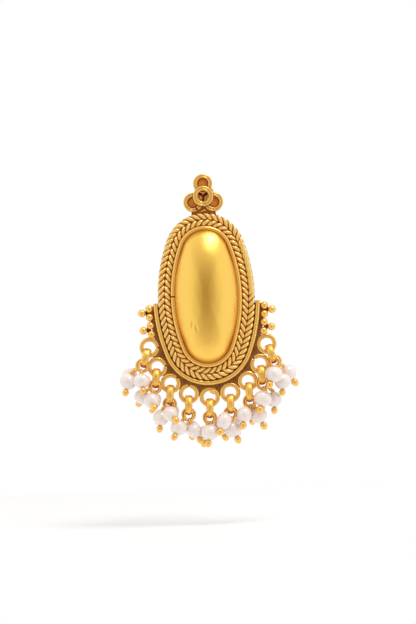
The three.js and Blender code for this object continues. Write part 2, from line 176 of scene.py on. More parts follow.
def tube(path, radius, side, sides=12, loop=False, recess=0.0):
    """A wire along a path: middle + radius (cos a side + sin a across), where side is made square to
    the path's direction and across = direction x side. radius may differ by row and by column."""
    before = np.roll(path, 1, axis=0) if loop else np.vstack([path[:1], path[:-1]])
    after = np.roll(path, -1, axis=0) if loop else np.vstack([path[1:], path[-1:]])
    direction = after - before
    direction /= np.linalg.norm(direction, axis=1, keepdims=True)
    side = np.broadcast_to(side, path.shape)
    side = side - direction * np.einsum("ij,ij->i", side, direction)[:, None]
    side = side / np.linalg.norm(side, axis=1, keepdims=True)
    across = np.cross(direction, side)
    angle = full_turn(sides)
    reach = np.broadcast_to(radius, (len(path), sides))
    points = (path[:, None]
              + (reach * np.cos(angle))[..., None] * side[:, None]
              + (reach * np.sin(angle))[..., None] * across[:, None])
    return skin(points, loop, recess)


print("triangles in a straight wire:", len(tube(np.array([0 * OUT, OUT]), 1.0, RIGHT)[1]))

# %% [markdown]
# Cups, balls, the post and the pin heads are round about an axis. Blender's Screw modifier turns a
# profile in the same way, but a grid can also carry the darkening, oxide and painted shade, that
# belongs to each point of the profile. A ball is the plainest turned shape: solder drawn into a drop by
# its own skin.

# %% Turned pieces and balls
POLE_GAP = 0.06
# Painted shade on the half of each ball that is turned to the plate.
BALL_SHADE = 0.2


def square_to(axis, spare, other, nearly_along=0.7):
    """Two directions square to an axis and to each other. The first is also square to spare, or to other
    where the axis runs nearly along spare."""
    side = np.cross(axis, spare if abs(axis @ spare) < nearly_along else other)
    side /= np.linalg.norm(side)
    return side, np.cross(axis, side)


def turned(profile, middle, axis, sides, loop=False, recess=0.0):
    """A lathe piece: each profile point is (radius, along the axis) from the middle. recess is one
    number, or one for each point of the profile."""
    side, across = square_to(axis, RIGHT, UP)
    angle = full_turn(sides)
    round_it = np.cos(angle)[:, None] * side + np.sin(angle)[:, None] * across
    profile = np.asarray(profile, float)
    points = middle + profile[:, 1, None, None] * axis + profile[:, 0, None, None] * round_it
    if not np.isscalar(recess):
        recess = np.asarray(recess)[:, None]
    return skin(points, loop, recess)


def ball(middle, radius):
    """A ball: rows at equal angles from pole to pole, darker on its back half, towards the plate: painted
    shade.
    """
    angle = np.linspace(POLE_GAP, np.pi - POLE_GAP, num=20)
    profile = np.column_stack([radius * np.sin(angle), -radius * np.cos(angle)])
    return turned(profile, middle, OUT, sides=28, recess=np.clip(BALL_SHADE + np.cos(angle), 0, 1))


print("triangles in a ball:", len(ball(np.zeros(3), 1.0)[1]))

# %% [markdown]
# A material is a network of shader nodes. It could be wired by hand in the Shader Editor, but one small
# function that adds a node, sets its values and links its inputs keeps the whole network readable as
# text. Colours are sRGB hex codes, as a colour picker shows them, and one function turns them into the
# linear values that the renderer adds up. The scale of a noise is worked out from the size of its
# grain.

# %% Helpers for materials
# A Mix node has inputs for numbers, vectors and colours. These are the places of its colour sockets.
MIX_FIRST = 6
MIX_SECOND = 7
MIX_COLOUR = 2


def colour(hex_code):
    """An sRGB hex colour as linear red, green, blue and alpha, by the sRGB standard's own curve."""
    part = np.array([int(hex_code[i:i + 2], 16) for i in (1, 3, 5)]) / 255
    linear = np.where(part <= 0.04045, part / 12.92, ((part + 0.055) / 1.055) ** 2.4)
    return (*linear.tolist(), 1.0)


def per_metre(size_mm):
    """The noise scale whose grain is about this many millimetres, on coordinates in metres."""
    return 1 / (size_mm * MM)


def new_material(name):
    """An empty material and its node tree."""
    material = bpy.data.materials.new(name)
    material.use_nodes = True
    material.node_tree.nodes.clear()
    return material, material.node_tree


def add(tree, kind, settings=None, sockets=None):
    """Adds a node: settings are its own values, sockets are values for its inputs or outputs to link."""
    made = tree.nodes.new(kind)
    for name, value in (settings or {}).items():
        setattr(made, name, value)
    for name, value in (sockets or {}).items():
        if isinstance(value, bpy.types.NodeSocket):
            tree.links.new(value, made.inputs[name])
        else:
            made.inputs[name].default_value = value
    return made


print("linear values of white:", colour("#FFFFFF"))

# %% [markdown]
# Gold of this kind is plated, darkened all over with a brown oxide and then polished again, so the
# oxide stays wherever the cloth can't reach. It could be painted on by hand with vertex paint, but the
# formulas know their own corners, so the recess attribute says where it stays. The same dark colour
# also stands for the shade in corners, under parts and on sides turned away: painted shade over the
# real oxide. A metal's base colour is the colour of its mirror image. Wear scatters part of the light in
# all directions, so the metallic value is kept under 1. A fine noise breaks up the edge of the dark, and
# another dents the surface.

# %% Antique gold
GRAIN_MM = 0.6
DENT_DEPTH = 0.2


def antique_gold(name, bright, dark, rough, oxide_and_shade, mirror=0.8, mottle=0.06, dents=0.12, dent_mm=0.25):
    """Rubbed gold, of colour bright, darkened towards colour dark where the recess attribute is high: oxide
    with painted shade. rough is the roughness of the gold and of the dark, and the pair after it is the
    recess where the dark starts and where it is full. mirror is the share of light that isn't scattered,
    mottle is how far the noise moves the dark's edge, and dents is the strength of dents that are dent_mm
    wide and a fifth as deep."""
    material, tree = new_material(name)
    place = add(tree, "ShaderNodeTexCoord")
    recess = add(tree, "ShaderNodeAttribute", {"attribute_name": "recess"})
    grain = add(tree, "ShaderNodeTexNoise", None,
                {"Vector": place.outputs["Object"], "Scale": per_metre(GRAIN_MM), "Detail": 4.0})
    speckle = add(tree, "ShaderNodeMapRange", None,
                  {"Value": grain.outputs["Fac"], "From Min": 0.3, "From Max": 0.7,
                   "To Min": -mottle, "To Max": mottle})
    oxide_and_shade_depth = add(tree, "ShaderNodeMath", {"operation": "ADD"},
               {0: recess.outputs["Fac"], 1: speckle.outputs["Result"]})
    share = add(tree, "ShaderNodeMapRange", {"interpolation_type": "SMOOTHSTEP"},
                {"Value": oxide_and_shade_depth.outputs["Value"], "From Min": oxide_and_shade[0], "From Max": oxide_and_shade[1]})
    # Painted shade and oxide: the gold turns to the dark colour where the recess is high.
    tint = add(tree, "ShaderNodeMix", {"data_type": "RGBA"},
               {"Factor": share.outputs["Result"], MIX_FIRST: colour(bright), MIX_SECOND: colour(dark)})
    gloss = add(tree, "ShaderNodeMapRange", None,
                {"Value": share.outputs["Result"], "To Min": rough[0], "To Max": rough[1]})
    fine = add(tree, "ShaderNodeTexNoise", None,
               {"Vector": place.outputs["Object"], "Scale": per_metre(dent_mm), "Detail": 3.0})
    bump = add(tree, "ShaderNodeBump", None,
               {"Height": fine.outputs["Fac"], "Strength": dents, "Distance": DENT_DEPTH * dent_mm * MM})
    metal = add(tree, "ShaderNodeBsdfPrincipled", None,
                {"Base Color": tint.outputs[MIX_COLOUR], "Roughness": gloss.outputs["Result"],
                 "Metallic": mirror, "Normal": bump.outputs["Normal"]})
    add(tree, "ShaderNodeOutputMaterial", None, {"Surface": metal.outputs["BSDF"]})
    print("made", name)
    return material


# %% [markdown]
# The wires, ropes, links and pins were plated together but handled differently, so each has its own
# polish. One gold for all would be simpler, but then the ropes would lose their soft leaves and the
# links their hammered gleam.

# %% The golds and the oxides
# Drawn wire, rubbed hard: a clear mirror on top and red-brown corners, oxide with painted shade.
wire_gold = antique_gold("antique_gold_wire", bright="#FFD070", dark="#A04A10", rough=(0.21, 0.5),
                         oxide_and_shade=(0.25, 0.9), mirror=0.75, dents=0.05)
# Twisted wire, worn by cloth: pale soft leaves, with brown lines between them, oxide with painted shade.
rope_gold = antique_gold("antique_gold_rope", bright="#FFD87E", dark="#BC6C2A", rough=(0.26, 0.5),
                         oxide_and_shade=(0.3, 0.95), mirror=0.58, dents=0.06)
# Hammered band, buffed last: a yellow gleam that its dents break up, and orange ends of painted shade.
link_gold = antique_gold("polished_gold_band", bright="#FFD068", dark="#C86C14", rough=(0.36, 0.45),
                         oxide_and_shade=(0.1, 0.9), mirror=0.72, mottle=0.55, dents=0.7, dent_mm=0.5)
# Thin annealed pin wire: warm gold, with small dents from the pliers.
pin_gold = antique_gold("gold_pin_wire", bright="#FFCC70", dark="#B05E18", rough=(0.28, 0.5),
                        oxide_and_shade=(0.3, 1.0), dents=0.2)
# Solder and oxide under the ropes, never polished: a dull brown, darkened further as painted shade.
groove_solder_and_shade = antique_gold("brown_groove_solder_painted_shade", bright="#B8702E", dark="#9A5420", rough=(0.5, 0.65),
                            oxide_and_shade=(0.2, 1.0))
# Rolled plate: rubbed to a dull gold behind, and dark brown in front between the wires, oxide with painted
# shade.
plate_oxide_and_shade = antique_gold("oxidised_gold_plate_painted_shade", bright="#E0A868", dark="#7C461C", rough=(0.45, 0.65),
                           oxide_and_shade=(0.2, 1.0))

# %% [markdown]
# The dome is the same gold under a soft mop, so it mirrors the room as a blur. Sheet that was beaten is
# never quite even: slow waves, longer up and down than across, bend the mirror image. The polish also
# leaves a pale sheen over the yellow. A paler gold would lose the deep yellow beside it, so a clear
# coat with a high index lays the sheen on top, and it fades where painted shade browns the dome's
# foot.

# %% Satin gold of the dome
WAVE_STRETCH = 0.4


def satin_gold():
    """Gold polished with a soft mop: a soft mirror with uneven gloss and slow waves."""
    material, tree = new_material("satin_polished_gold")
    place = add(tree, "ShaderNodeTexCoord")
    recess = add(tree, "ShaderNodeAttribute", {"attribute_name": "recess"})
    cloud = add(tree, "ShaderNodeTexNoise", None,
                {"Vector": place.outputs["Object"], "Scale": per_metre(3.0), "Detail": 5.0})
    gloss = add(tree, "ShaderNodeMapRange", None,
                {"Value": cloud.outputs["Fac"], "From Min": 0.3, "From Max": 0.7,
                 "To Min": 0.27, "To Max": 0.34})
    # Painted shade: where the recess is high, at the dome's foot, the gold turns brown.
    tint = add(tree, "ShaderNodeMix", {"data_type": "RGBA"},
               {"Factor": recess.outputs["Fac"], MIX_FIRST: colour("#FFCA20"),
                MIX_SECOND: colour("#CC8424")})
    stretched = add(tree, "ShaderNodeMapping", None,
                    {"Vector": place.outputs["Object"], "Scale": (1.0, 1.0, WAVE_STRETCH)})
    wave = add(tree, "ShaderNodeTexNoise", None,
               {"Vector": stretched.outputs["Vector"], "Scale": per_metre(2.2), "Detail": 2.0})
    raised = add(tree, "ShaderNodeBump", None,
                 {"Height": wave.outputs["Fac"], "Strength": 1.0, "Distance": 0.1 * MM})
    # Real polishing grit leaves marks of a few hundredths of a millimetre. They are drawn coarser to show.
    grit = add(tree, "ShaderNodeTexNoise", None,
               {"Vector": place.outputs["Object"], "Scale": per_metre(0.3), "Detail": 2.0})
    bump = add(tree, "ShaderNodeBump", None,
               {"Height": grit.outputs["Fac"], "Strength": 0.05, "Distance": 0.02 * MM,
                "Normal": raised.outputs["Normal"]})
    polish = add(tree, "ShaderNodeMath", {"operation": "SUBTRACT"}, {0: 1.0, 1: recess.outputs["Fac"]})
    metal = add(tree, "ShaderNodeBsdfPrincipled", None,
                {"Base Color": tint.outputs[MIX_COLOUR], "Roughness": gloss.outputs["Result"],
                 "Metallic": 1.0, "Coat Weight": polish.outputs["Value"], "Coat Roughness": 0.3,
                 "Coat IOR": 2.0, "Normal": bump.outputs["Normal"]})
    add(tree, "ShaderNodeOutputMaterial", None, {"Surface": metal.outputs["BSDF"]})
    print("made", material.name)
    return material


# It gives the eye a deep yellow with a pale bloom, and soft dark and light bands.
dome_gold = satin_gold()

# %% [markdown]
# The floors of the cups were never polished: they keep the grainy copper-brown skin that heating
# leaves. It is almost a matt paint to the eye. A plain brown would look flat, so one noise gives both
# the specks and the grain, as on the real one, where the raised grains are the paler ones.

# %% Copper-brown floors of the cups
def copper_floor():
    """Unpolished grainy metal, copper brown with paler specks, darker where the recess is high: painted
    shade.
    """
    material, tree = new_material("unpolished_copper_brown")
    place = add(tree, "ShaderNodeTexCoord")
    grain = add(tree, "ShaderNodeTexNoise", None,
                {"Vector": place.outputs["Object"], "Scale": per_metre(0.3), "Detail": 4.0})
    recess = add(tree, "ShaderNodeAttribute", {"attribute_name": "recess"})
    speck = add(tree, "ShaderNodeMapRange", None,
                {"Value": grain.outputs["Fac"], "From Min": 0.35, "From Max": 0.65})
    grainy = add(tree, "ShaderNodeMix", {"data_type": "RGBA"},
                 {"Factor": speck.outputs["Result"], MIX_FIRST: colour("#F08424"),
                  MIX_SECOND: colour("#FFB450")})
    # Painted shade: the brown darkens where the recess is high.
    tint = add(tree, "ShaderNodeMix", {"data_type": "RGBA"},
               {"Factor": recess.outputs["Fac"], MIX_FIRST: grainy.outputs[MIX_COLOUR],
                MIX_SECOND: colour("#8A3408")})
    bump = add(tree, "ShaderNodeBump", None,
               {"Height": grain.outputs["Fac"], "Strength": 0.4, "Distance": 0.08 * MM})
    metal = add(tree, "ShaderNodeBsdfPrincipled", None,
                {"Base Color": tint.outputs[MIX_COLOUR], "Roughness": 0.55, "Metallic": 0.3,
                 "Normal": bump.outputs["Normal"]})
    add(tree, "ShaderNodeOutputMaterial", None, {"Surface": metal.outputs["BSDF"]})
    print("made", material.name)
    return material


# It gives the eye a warm rough brown that sets off the bright walls.
cup_copper = copper_floor()

# %% [markdown]
# A freshwater pearl is layer on layer of nacre: a near-white body that drifts between cream and pink,
# under a clear gloss. Subsurface scattering could soften it from inside, but on pearls of three
# millimetres that softness is about as fine as a pixel and only adds noise. So the body is plain and a
# clear coat gives the gloss. Its index is higher than nacre's own, because many thin layers mirror more
# than one. A faint sheen lightens the edges.

# %% Nacre of the pearls
def nacre():
    """White nacre: a drift of cream and pink, faint dimples of growth, a clear gloss and a little sheen."""
    material, tree = new_material("freshwater_pearl_nacre")
    place = add(tree, "ShaderNodeTexCoord")
    drift = add(tree, "ShaderNodeTexNoise", None,
                {"Vector": place.outputs["Object"], "Scale": per_metre(2.2), "Detail": 3.0})
    warm = add(tree, "ShaderNodeMapRange", None,
               {"Value": drift.outputs["Fac"], "From Min": 0.35, "From Max": 0.65})
    tint = add(tree, "ShaderNodeMix", {"data_type": "RGBA"},
               {"Factor": warm.outputs["Result"], MIX_FIRST: colour("#FBF0E7"),
                MIX_SECOND: colour("#F6EAE7")})
    dimple = add(tree, "ShaderNodeTexNoise", None,
                 {"Vector": place.outputs["Object"], "Scale": per_metre(0.9), "Detail": 2.0})
    bump = add(tree, "ShaderNodeBump", None,
               {"Height": dimple.outputs["Fac"], "Strength": 0.03, "Distance": 0.1 * MM})
    pearl = add(tree, "ShaderNodeBsdfPrincipled", None,
                {"Base Color": tint.outputs[MIX_COLOUR], "Roughness": 0.3, "IOR": 1.6,
                 "Coat Weight": 1.0, "Coat Roughness": 0.17, "Coat IOR": 1.9,
                 "Sheen Weight": 0.15, "Sheen Roughness": 0.4, "Normal": bump.outputs["Normal"]})
    add(tree, "ShaderNodeOutputMaterial", None, {"Surface": pearl.outputs["BSDF"]})
    print("made", material.name)
    return material


# It gives the eye a soft white with small bright lights.
pearl_nacre = nacre()

# %% [markdown]
# The seat of the dome is an oval of four tangent arcs: two tight ones at the ends and two long ones at
# the sides. A scaled circle would be quicker, but its offsets aren't parallel to it. Arcs keep their
# centres when they are offset, so every border line is the same oval with other radii, and runs
# parallel to the seat.

# %% The oval
OVAL_DROP = 20.0
OVAL_HALF_WIDTH = 6.35
OVAL_HALF_HEIGHT = 13.35
OVAL_END_RADIUS = 4.75


def oval(t, offset=0.0):
    """Points and outward normals on the line offset mm outside the seat, and the line's length.
    t runs from 0 to 1 counter-clockwise from the lowest point, by length along the line."""
    rise = OVAL_HALF_HEIGHT - OVAL_END_RADIUS
    side = ((OVAL_HALF_WIDTH ** 2 + rise ** 2 - OVAL_END_RADIUS ** 2)
            / (2 * (OVAL_HALF_WIDTH - OVAL_END_RADIUS)))
    shift = side - OVAL_HALF_WIDTH
    join = np.arctan2(rise, shift)
    centres = np.array([[0, -rise], [-shift, 0], [0, rise], [shift, 0], [0, -rise]])
    radii = np.array([OVAL_END_RADIUS, side, OVAL_END_RADIUS, side, OVAL_END_RADIUS]) + offset
    starts = np.array([-np.pi / 2, -join, join, np.pi - join, np.pi + join])
    stops = np.append(starts[1:], 1.5 * np.pi)
    ends = np.cumsum(radii * (stops - starts))
    along = np.mod(t, 1.0) * ends[-1]
    arc = np.minimum(np.searchsorted(ends, along), len(ends) - 1)
    angle = starts[arc] + (along - np.append(0, ends[:-1])[arc]) / radii[arc]
    normal = np.stack([np.cos(angle), np.sin(angle)], axis=-1)
    point = centres[arc] + normal * radii[arc][..., None] - [0, OVAL_DROP]
    return point, normal, ends[-1]


def once_round(steps):
    """Equal steps of t once round the oval."""
    return np.linspace(0, 1, steps, endpoint=False)


def border(t, offset, across, height):
    """Bench points beside a border line: across outwards from it and height out of the plate."""
    point, normal, _ = oval(t, offset)
    flat = point[:, None] + normal[:, None] * across[..., None]
    return np.dstack([flat, np.broadcast_to(height, flat.shape[:2])])


print("length of the seat:", round(oval(0.0)[2], 2), "mm")

# %% [markdown]
# The dome is raised from sheet and set in the bezel as a hollow shell. It could be half a sphere,
# scaled and pulled with proportional editing, but then it wouldn't follow its seat. Here each row is
# the seat's oval drawn in to a share s of its size. A short upright foot stands inside the bezel, and
# above it the height is foot + rise (1 - s^k)^m. With k over 2 the top is flatter than a bowl's, and
# with m under 1 the edge drops more steeply.

# %% The dome's shape
PLATE_TOP = 0.8
CLEARANCE = 0.1
DOME_FOOT = 2.48
DOME_RISE = 4.02
DOME_FLATNESS = 2.3
DOME_EDGE = 0.88
DOME_WALL = 0.5
DOME_TIP = 0.004
DOME_HOLLOW_TIP = 0.1


def dome_rows(shares, rise, shrink):
    """The foot row and the rows at these shares of the seat's size, from its edge to its middle."""
    edge = oval(once_round(480), -CLEARANCE)[0]
    centre = np.array([0, -OVAL_DROP])
    spread = shrink * np.append(1.0, shares)
    crown = DOME_FOOT + rise * (1 - shares ** DOME_FLATNESS) ** DOME_EDGE
    height = np.append(PLATE_TOP + CLEARANCE, crown)
    flat = centre + spread[:, None, None] * (edge - centre)
    return np.dstack([flat, np.broadcast_to(height[:, None], flat.shape[:2])])


outside = dome_rows(np.sin(np.linspace(np.pi / 2, DOME_TIP, num=120)), DOME_RISE, 1.0)
hollow_shrink = 1 - DOME_WALL / OVAL_HALF_WIDTH
hollow_shares = np.linspace(1, DOME_HOLLOW_TIP, num=12)
inside = dome_rows(hollow_shares, DOME_RISE - DOME_WALL, hollow_shrink)[::-1]
print("top of the dome:", round(outside[..., 2].max(), 2), "mm")

# %% [markdown]
# Three small nicks are pressed into the dome. A sculpting brush could press them, but a formula puts
# them to a tenth of a millimetre: each takes deep exp(-(along / long)^2 - (aside / wide)^2) off the
# height. Painted shade lies low on the dome, under the bezel's top, mostly towards its two ends.

# %% The dome with its nicks and painted shade
RIM_HEIGHT = 2.6
DOME_SHADE_ABOVE_RIM = 0.75
DOME_SHADE_FADE = 0.6
DOME_SHADE_STARTS = 4.0
DOME_SHADE_GROWS = 5.0
DOME_SHADE_AT_SIDES = 0.1
NICKS = [
    {"x": -3.0, "up": -25.5, "long": 0.8, "wide": 0.13, "deep": 0.14, "lean": 6},
    {"x": -2.15, "up": -26.2, "long": 0.5, "wide": 0.16, "deep": 0.17, "lean": -14},
    {"x": -3.6, "up": -11.6, "long": 0.5, "wide": 0.17, "deep": 0.06, "lean": 5},
]

for nick in NICKS:
    lean = np.radians(nick["lean"])
    dx, dup = outside[1:, :, 0] - nick["x"], outside[1:, :, 1] - nick["up"]
    along = dup * np.cos(lean) + dx * np.sin(lean)
    aside = dx * np.cos(lean) - dup * np.sin(lean)
    outside[1:, :, 2] -= nick["deep"] * np.exp(-(along / nick["long"]) ** 2 - (aside / nick["wide"]) ** 2)
dome_points = np.vstack([inside, outside])
# Painted shade at the dome's foot, strongest towards its two ends.
from_middle = np.abs(dome_points[..., 1] + OVAL_DROP)
towards_end = np.clip((from_middle - DOME_SHADE_STARTS) / DOME_SHADE_GROWS, DOME_SHADE_AT_SIDES, 1)
below = np.clip((RIM_HEIGHT + DOME_SHADE_ABOVE_RIM - dome_points[..., 2]) / DOME_SHADE_FADE, 0, 1)
piece("gold_dome", [skin(dome_points, recess=towards_end * below)], dome_gold, ["dome"])

# %% [markdown]
# Round the dome stands the bezel, a flat strip set on edge with a rounded top, whose ends meet in a
# fine seam on the left. Outside the ropes, the lower half has a plain half-round rail with square ends.
# Both could be curves with a bevel profile. As one profile carried along a border line they follow the
# oval exactly, and the seam is a notch in the height of a few rows.

# %% A strip's profile
STRIP_FOOT = 0.3
STRIP_BRIGHT = 0.27
STRIP_FADE = 0.35


def rounded_strip(width, height):
    """A strip's profile, counter-clockwise from its inner foot: a square foot and a half-round top."""
    arc = np.linspace(0, np.pi, num=15)
    across = np.concatenate([[-width / 2, width / 2], width / 2 * np.cos(arc)])
    up = np.concatenate([[STRIP_FOOT] * 2, height - width / 2 + width / 2 * np.sin(arc)])
    return across, up


def strip_recess(up, height):
    """Bright on top, darker towards the foot: painted shade in the crease, with oxide."""
    return np.clip((height - up - STRIP_BRIGHT) / STRIP_FADE, 0, 1)


print("points in a strip's profile:", len(rounded_strip(1.0, 2.0)[0]))

# %% Bezel and rail
RIM_WIDTH = 0.75
RIM_LEAN = 0.16
RIM_SHADE_SHARE = 0.8
SEAM_AT = 0.748
SEAM_WIDTH = 0.0011
SEAM_DEPTH = 1.4
SEAM_TARNISH = 3
RAIL_OFFSET = 3.88
RAIL_WIDTH = 0.94
RAIL_HEIGHT = 1.65
RAIL_REACH = 0.238

t = once_round(700)
across, up = rounded_strip(RIM_WIDTH + RIM_LEAN, RIM_HEIGHT)
notch = np.exp(-((t - SEAM_AT) / SEAM_WIDTH) ** 2)[:, None]
rim_up = np.where(up > STRIP_FOOT, up - SEAM_DEPTH * notch, up)
rim = border(t, (RIM_WIDTH - RIM_LEAN) / 2, np.broadcast_to(across, rim_up.shape), rim_up)
# Painted shade towards the bezel's foot, and the dark seam.
rim_recess = np.maximum(RIM_SHADE_SHARE * strip_recess(up, RIM_HEIGHT), SEAM_TARNISH * notch)
rim_skin = skin(rim, loop=True, recess=np.clip(rim_recess, 0, 1))
piece("bezel_rim", [rim_skin], wire_gold, ["setting"])

t = np.linspace(-RAIL_REACH, RAIL_REACH, num=240)
across, up = rounded_strip(RAIL_WIDTH, RAIL_HEIGHT)
rail = border(t, RAIL_OFFSET, np.broadcast_to(across, (len(t), len(up))), up)
piece("lower_rail", [skin(rail, recess=strip_recess(up, RAIL_HEIGHT))], wire_gold, ["setting"])

# %% [markdown]
# Between bezel and rail lie two ropes of three round wires each, pressed on to the plate and soldered.
# They turn opposite ways, so side by side they look plaited. An Array modifier on a curve could repeat
# one leaf, but the leaves would break where the curve closes. Here a wire's middle turns about the
# rope's middle line, a (cos b outwards + sin b out of the plate), with b growing by whole turns round
# the oval. Where the outer rope is rubbed most, its leaves are worn towards one smooth round.

# %% Ropes: sizes and wear
ROPE_RADIUS = 0.58
ROPE_MIDDLE = PLATE_TOP + CLEARANCE + ROPE_RADIUS
ROPE_WIRES = 3
ROPES = [
    {"name": "inner_rope", "node": "braid_inner", "offset": 1.42, "turns": 20, "worn": []},
    {"name": "outer_rope", "node": "braid_outer", "offset": 2.68, "turns": -22, "worn": [
        {"start": 0.25, "stop": 0.41, "share": 0.8},
        {"start": 0.56, "stop": 0.68, "share": 0.4},
    ]},
]
WEAR_BEGINS = 0.006
WEAR_FADES = 0.05


def rope_wear(rope, t):
    """How far the leaves are worn away: each worn stretch begins sharply and fades slowly."""
    worn = np.zeros(len(t))
    for stretch in rope["worn"]:
        begins = np.clip((t - stretch["start"]) / WEAR_BEGINS, 0, 1)
        fades = np.clip((stretch["stop"] - t) / WEAR_FADES, 0, 1)
        worn = np.maximum(worn, stretch["share"] * begins * fades)
    return worn


for rope in ROPES:
    print(rope["name"], "has", ROPE_WIRES * abs(rope["turns"]), "leaves")

# %% One wire of a rope
ROPE_WIRE = 0.28
ROPE_PLUMP = 0.26
ROPE_SWAY = 0.37
ROPE_HURRY = 0.5
ROPE_SIDES = 16
ROPE_STEPS = 32
LEAF_EDGE = 0.44
LEAF_FADE = 0.45
WEAR_LEAST_REACH = 0.2
ROPE_LOW_FADE = 0.3


def rope_wire(rope, number):
    """One wire of a rope, plumper on top than below: its radius is w (1 + p sin b), it sways sideways
    by s cos b, and its top stays at the rope's height. It crosses the top faster than the underside,
    b = a - h cos a, as in a rope pressed on to a plate. Oxide with painted shade lies on the sides that
    face the next wire, and painted shade low down, near the plate. Over a worn stretch the wires are
    filled out to one smooth round."""
    t = once_round(abs(rope["turns"]) * ROPE_STEPS)
    point, normal, _ = oval(t, rope["offset"])
    turn = 2 * np.pi * (rope["turns"] * t + number / ROPE_WIRES)
    turn = turn - ROPE_HURRY * np.cos(turn)
    radial = np.column_stack([normal * np.cos(turn)[:, None], np.sin(turn)])
    line = np.column_stack([point, np.full(len(t), ROPE_MIDDLE)])
    wire = ROPE_WIRE * (1 + ROPE_PLUMP * np.sin(turn))[:, None]
    path = line + radial * np.column_stack([np.full((len(t), 2), ROPE_SWAY), ROPE_RADIUS - wire])
    corners, faces, _ = tube(path, wire, radial, sides=ROPE_SIDES, loop=True)
    away = corners - np.repeat(line, ROPE_SIDES, axis=0)
    reach = np.linalg.norm(away, axis=1)
    outwards = np.cos(full_turn(ROPE_SIDES))
    between = np.tile(np.clip((LEAF_EDGE - outwards) / LEAF_FADE, 0, 1), len(t))
    worn = np.repeat(rope_wear(rope, t), ROPE_SIDES) * (reach > WEAR_LEAST_REACH)
    corners += away * (worn * (ROPE_RADIUS / np.maximum(reach, WEAR_LEAST_REACH) - 1))[:, None]
    low = np.clip((ROPE_MIDDLE - corners[:, 2]) / ROPE_LOW_FADE, 0, 1)
    return corners, faces, np.maximum(between * (1 - worn), low)


print("triangles in a wire of the inner rope:", len(rope_wire(ROPES[0], 0)[1]))

# %% Both ropes and the solder that beds them, dark with painted shade
ROPE_CORE = 0.38
# Painted shade: the core is dark, so the gaps between the wires look shaded.
ROPE_CORE_SHADE = 0.9
ROPE_BED = {"inside": 0.7, "outside": 2.9, "top": 1.42}


def rope_core(rope):
    """What fills a rope between its wires: solder, dark as painted shade, a plain round along its middle
    line.
    """
    t = once_round(300)
    point, normal, _ = oval(t, rope["offset"])
    line = np.column_stack([point, np.full(len(t), ROPE_MIDDLE)])
    side = np.column_stack([normal, np.zeros(len(t))])
    return tube(line, ROPE_CORE, side, loop=True, recess=ROPE_CORE_SHADE)


for rope in ROPES:
    wires = [rope_wire(rope, number) for number in range(ROPE_WIRES)]
    piece(rope["name"], [*wires, rope_core(rope)], rope_gold, [rope["node"]])

t = once_round(240)
bed_across = np.array([ROPE_BED[side] for side in ("inside", "outside", "outside", "inside")])
bed_up = np.array([PLATE_TOP, PLATE_TOP, ROPE_BED["top"], ROPE_BED["top"]])
bed = border(t, 0.0, np.broadcast_to(bed_across, (len(t), len(bed_up))), bed_up)
# The bed is solder that is dark all over: painted shade under the ropes.
piece("rope_bed", [skin(bed, loop=True, recess=1.0)], groove_solder_and_shade, ["setting"])

# %% [markdown]
# Nine rings sit along the lower edge. Each is a wire bent round and closed, and on some of them the
# closing slit still shows. A torus from the Add menu would be perfectly closed. As a tube along a
# circle, the wire can narrow sharply where it meets itself, and its section can be a little fuller than
# round, as in wire that was lightly hammered.

# %% Places of the edge rings
RING_COUNT = 9
RING_OFFSET = 6.72
RING_PITCH = 4.22
RING_OUT = 0.5

ring_line = oval(0.0, RING_OFFSET)[2]
ring_at = (np.arange(1, RING_COUNT + 1) - (RING_COUNT + 1) / 2) * RING_PITCH / ring_line
ring_middles = np.column_stack([oval(ring_at, RING_OFFSET)[0], np.full(RING_COUNT, RING_OUT)])
print("middle of the lowest ring:", ring_middles[RING_COUNT // 2].round(2))

# %% Edge rings
RING_RADIUS = 1.6
RING_WIRE = 0.44
RING_FULLNESS = 2.5
RING_SHADE_AND_OXIDE = {"all_round": 0.1, "below": 0.6}
RING_SIDES = 16
SLIT_DEPTH = 0.75
RING_SLITS = {
    1: {"at": -3, "degrees": 4.0},
    2: {"at": 8, "degrees": 5.0},
    3: {"at": 42, "degrees": 3.5},
    4: {"at": 86, "degrees": 5.0},
    8: {"at": 136, "degrees": 5.0},
}


def edge_ring(middle, slit):
    """A ring of wire, middle + R (cos a, sin a). Its section is a little fuller than round, and darker on
    the side turned to the plate, which is painted shade. At its closing slit the wire narrows sharply,
    and the oxide stays in."""
    angle = full_turn(180)
    outwards = np.column_stack([np.cos(angle), np.sin(angle), np.zeros(len(angle))])
    section = full_turn(RING_SIDES)
    full = (np.abs(np.cos(section)) ** RING_FULLNESS
            + np.abs(np.sin(section)) ** RING_FULLNESS) ** (-1 / RING_FULLNESS)
    # Painted shade on the back of the wire, towards the plate, over a slight darkening all round.
    recess = np.clip(RING_SHADE_AND_OXIDE["all_round"] + RING_SHADE_AND_OXIDE["below"] * np.sin(section), 0, 1)
    groove = np.zeros((len(angle), 1))
    if slit:
        gap = np.degrees(angle)[:, None] - slit["at"]
        gap = np.mod(gap + 180, 360) - 180
        groove = np.exp(-(gap / slit["degrees"]) ** 2)
    reach = RING_WIRE * full * (1 - SLIT_DEPTH * groove)
    path = middle + RING_RADIUS * outwards
    return tube(path, reach, outwards, sides=RING_SIDES, loop=True, recess=np.maximum(recess, groove))


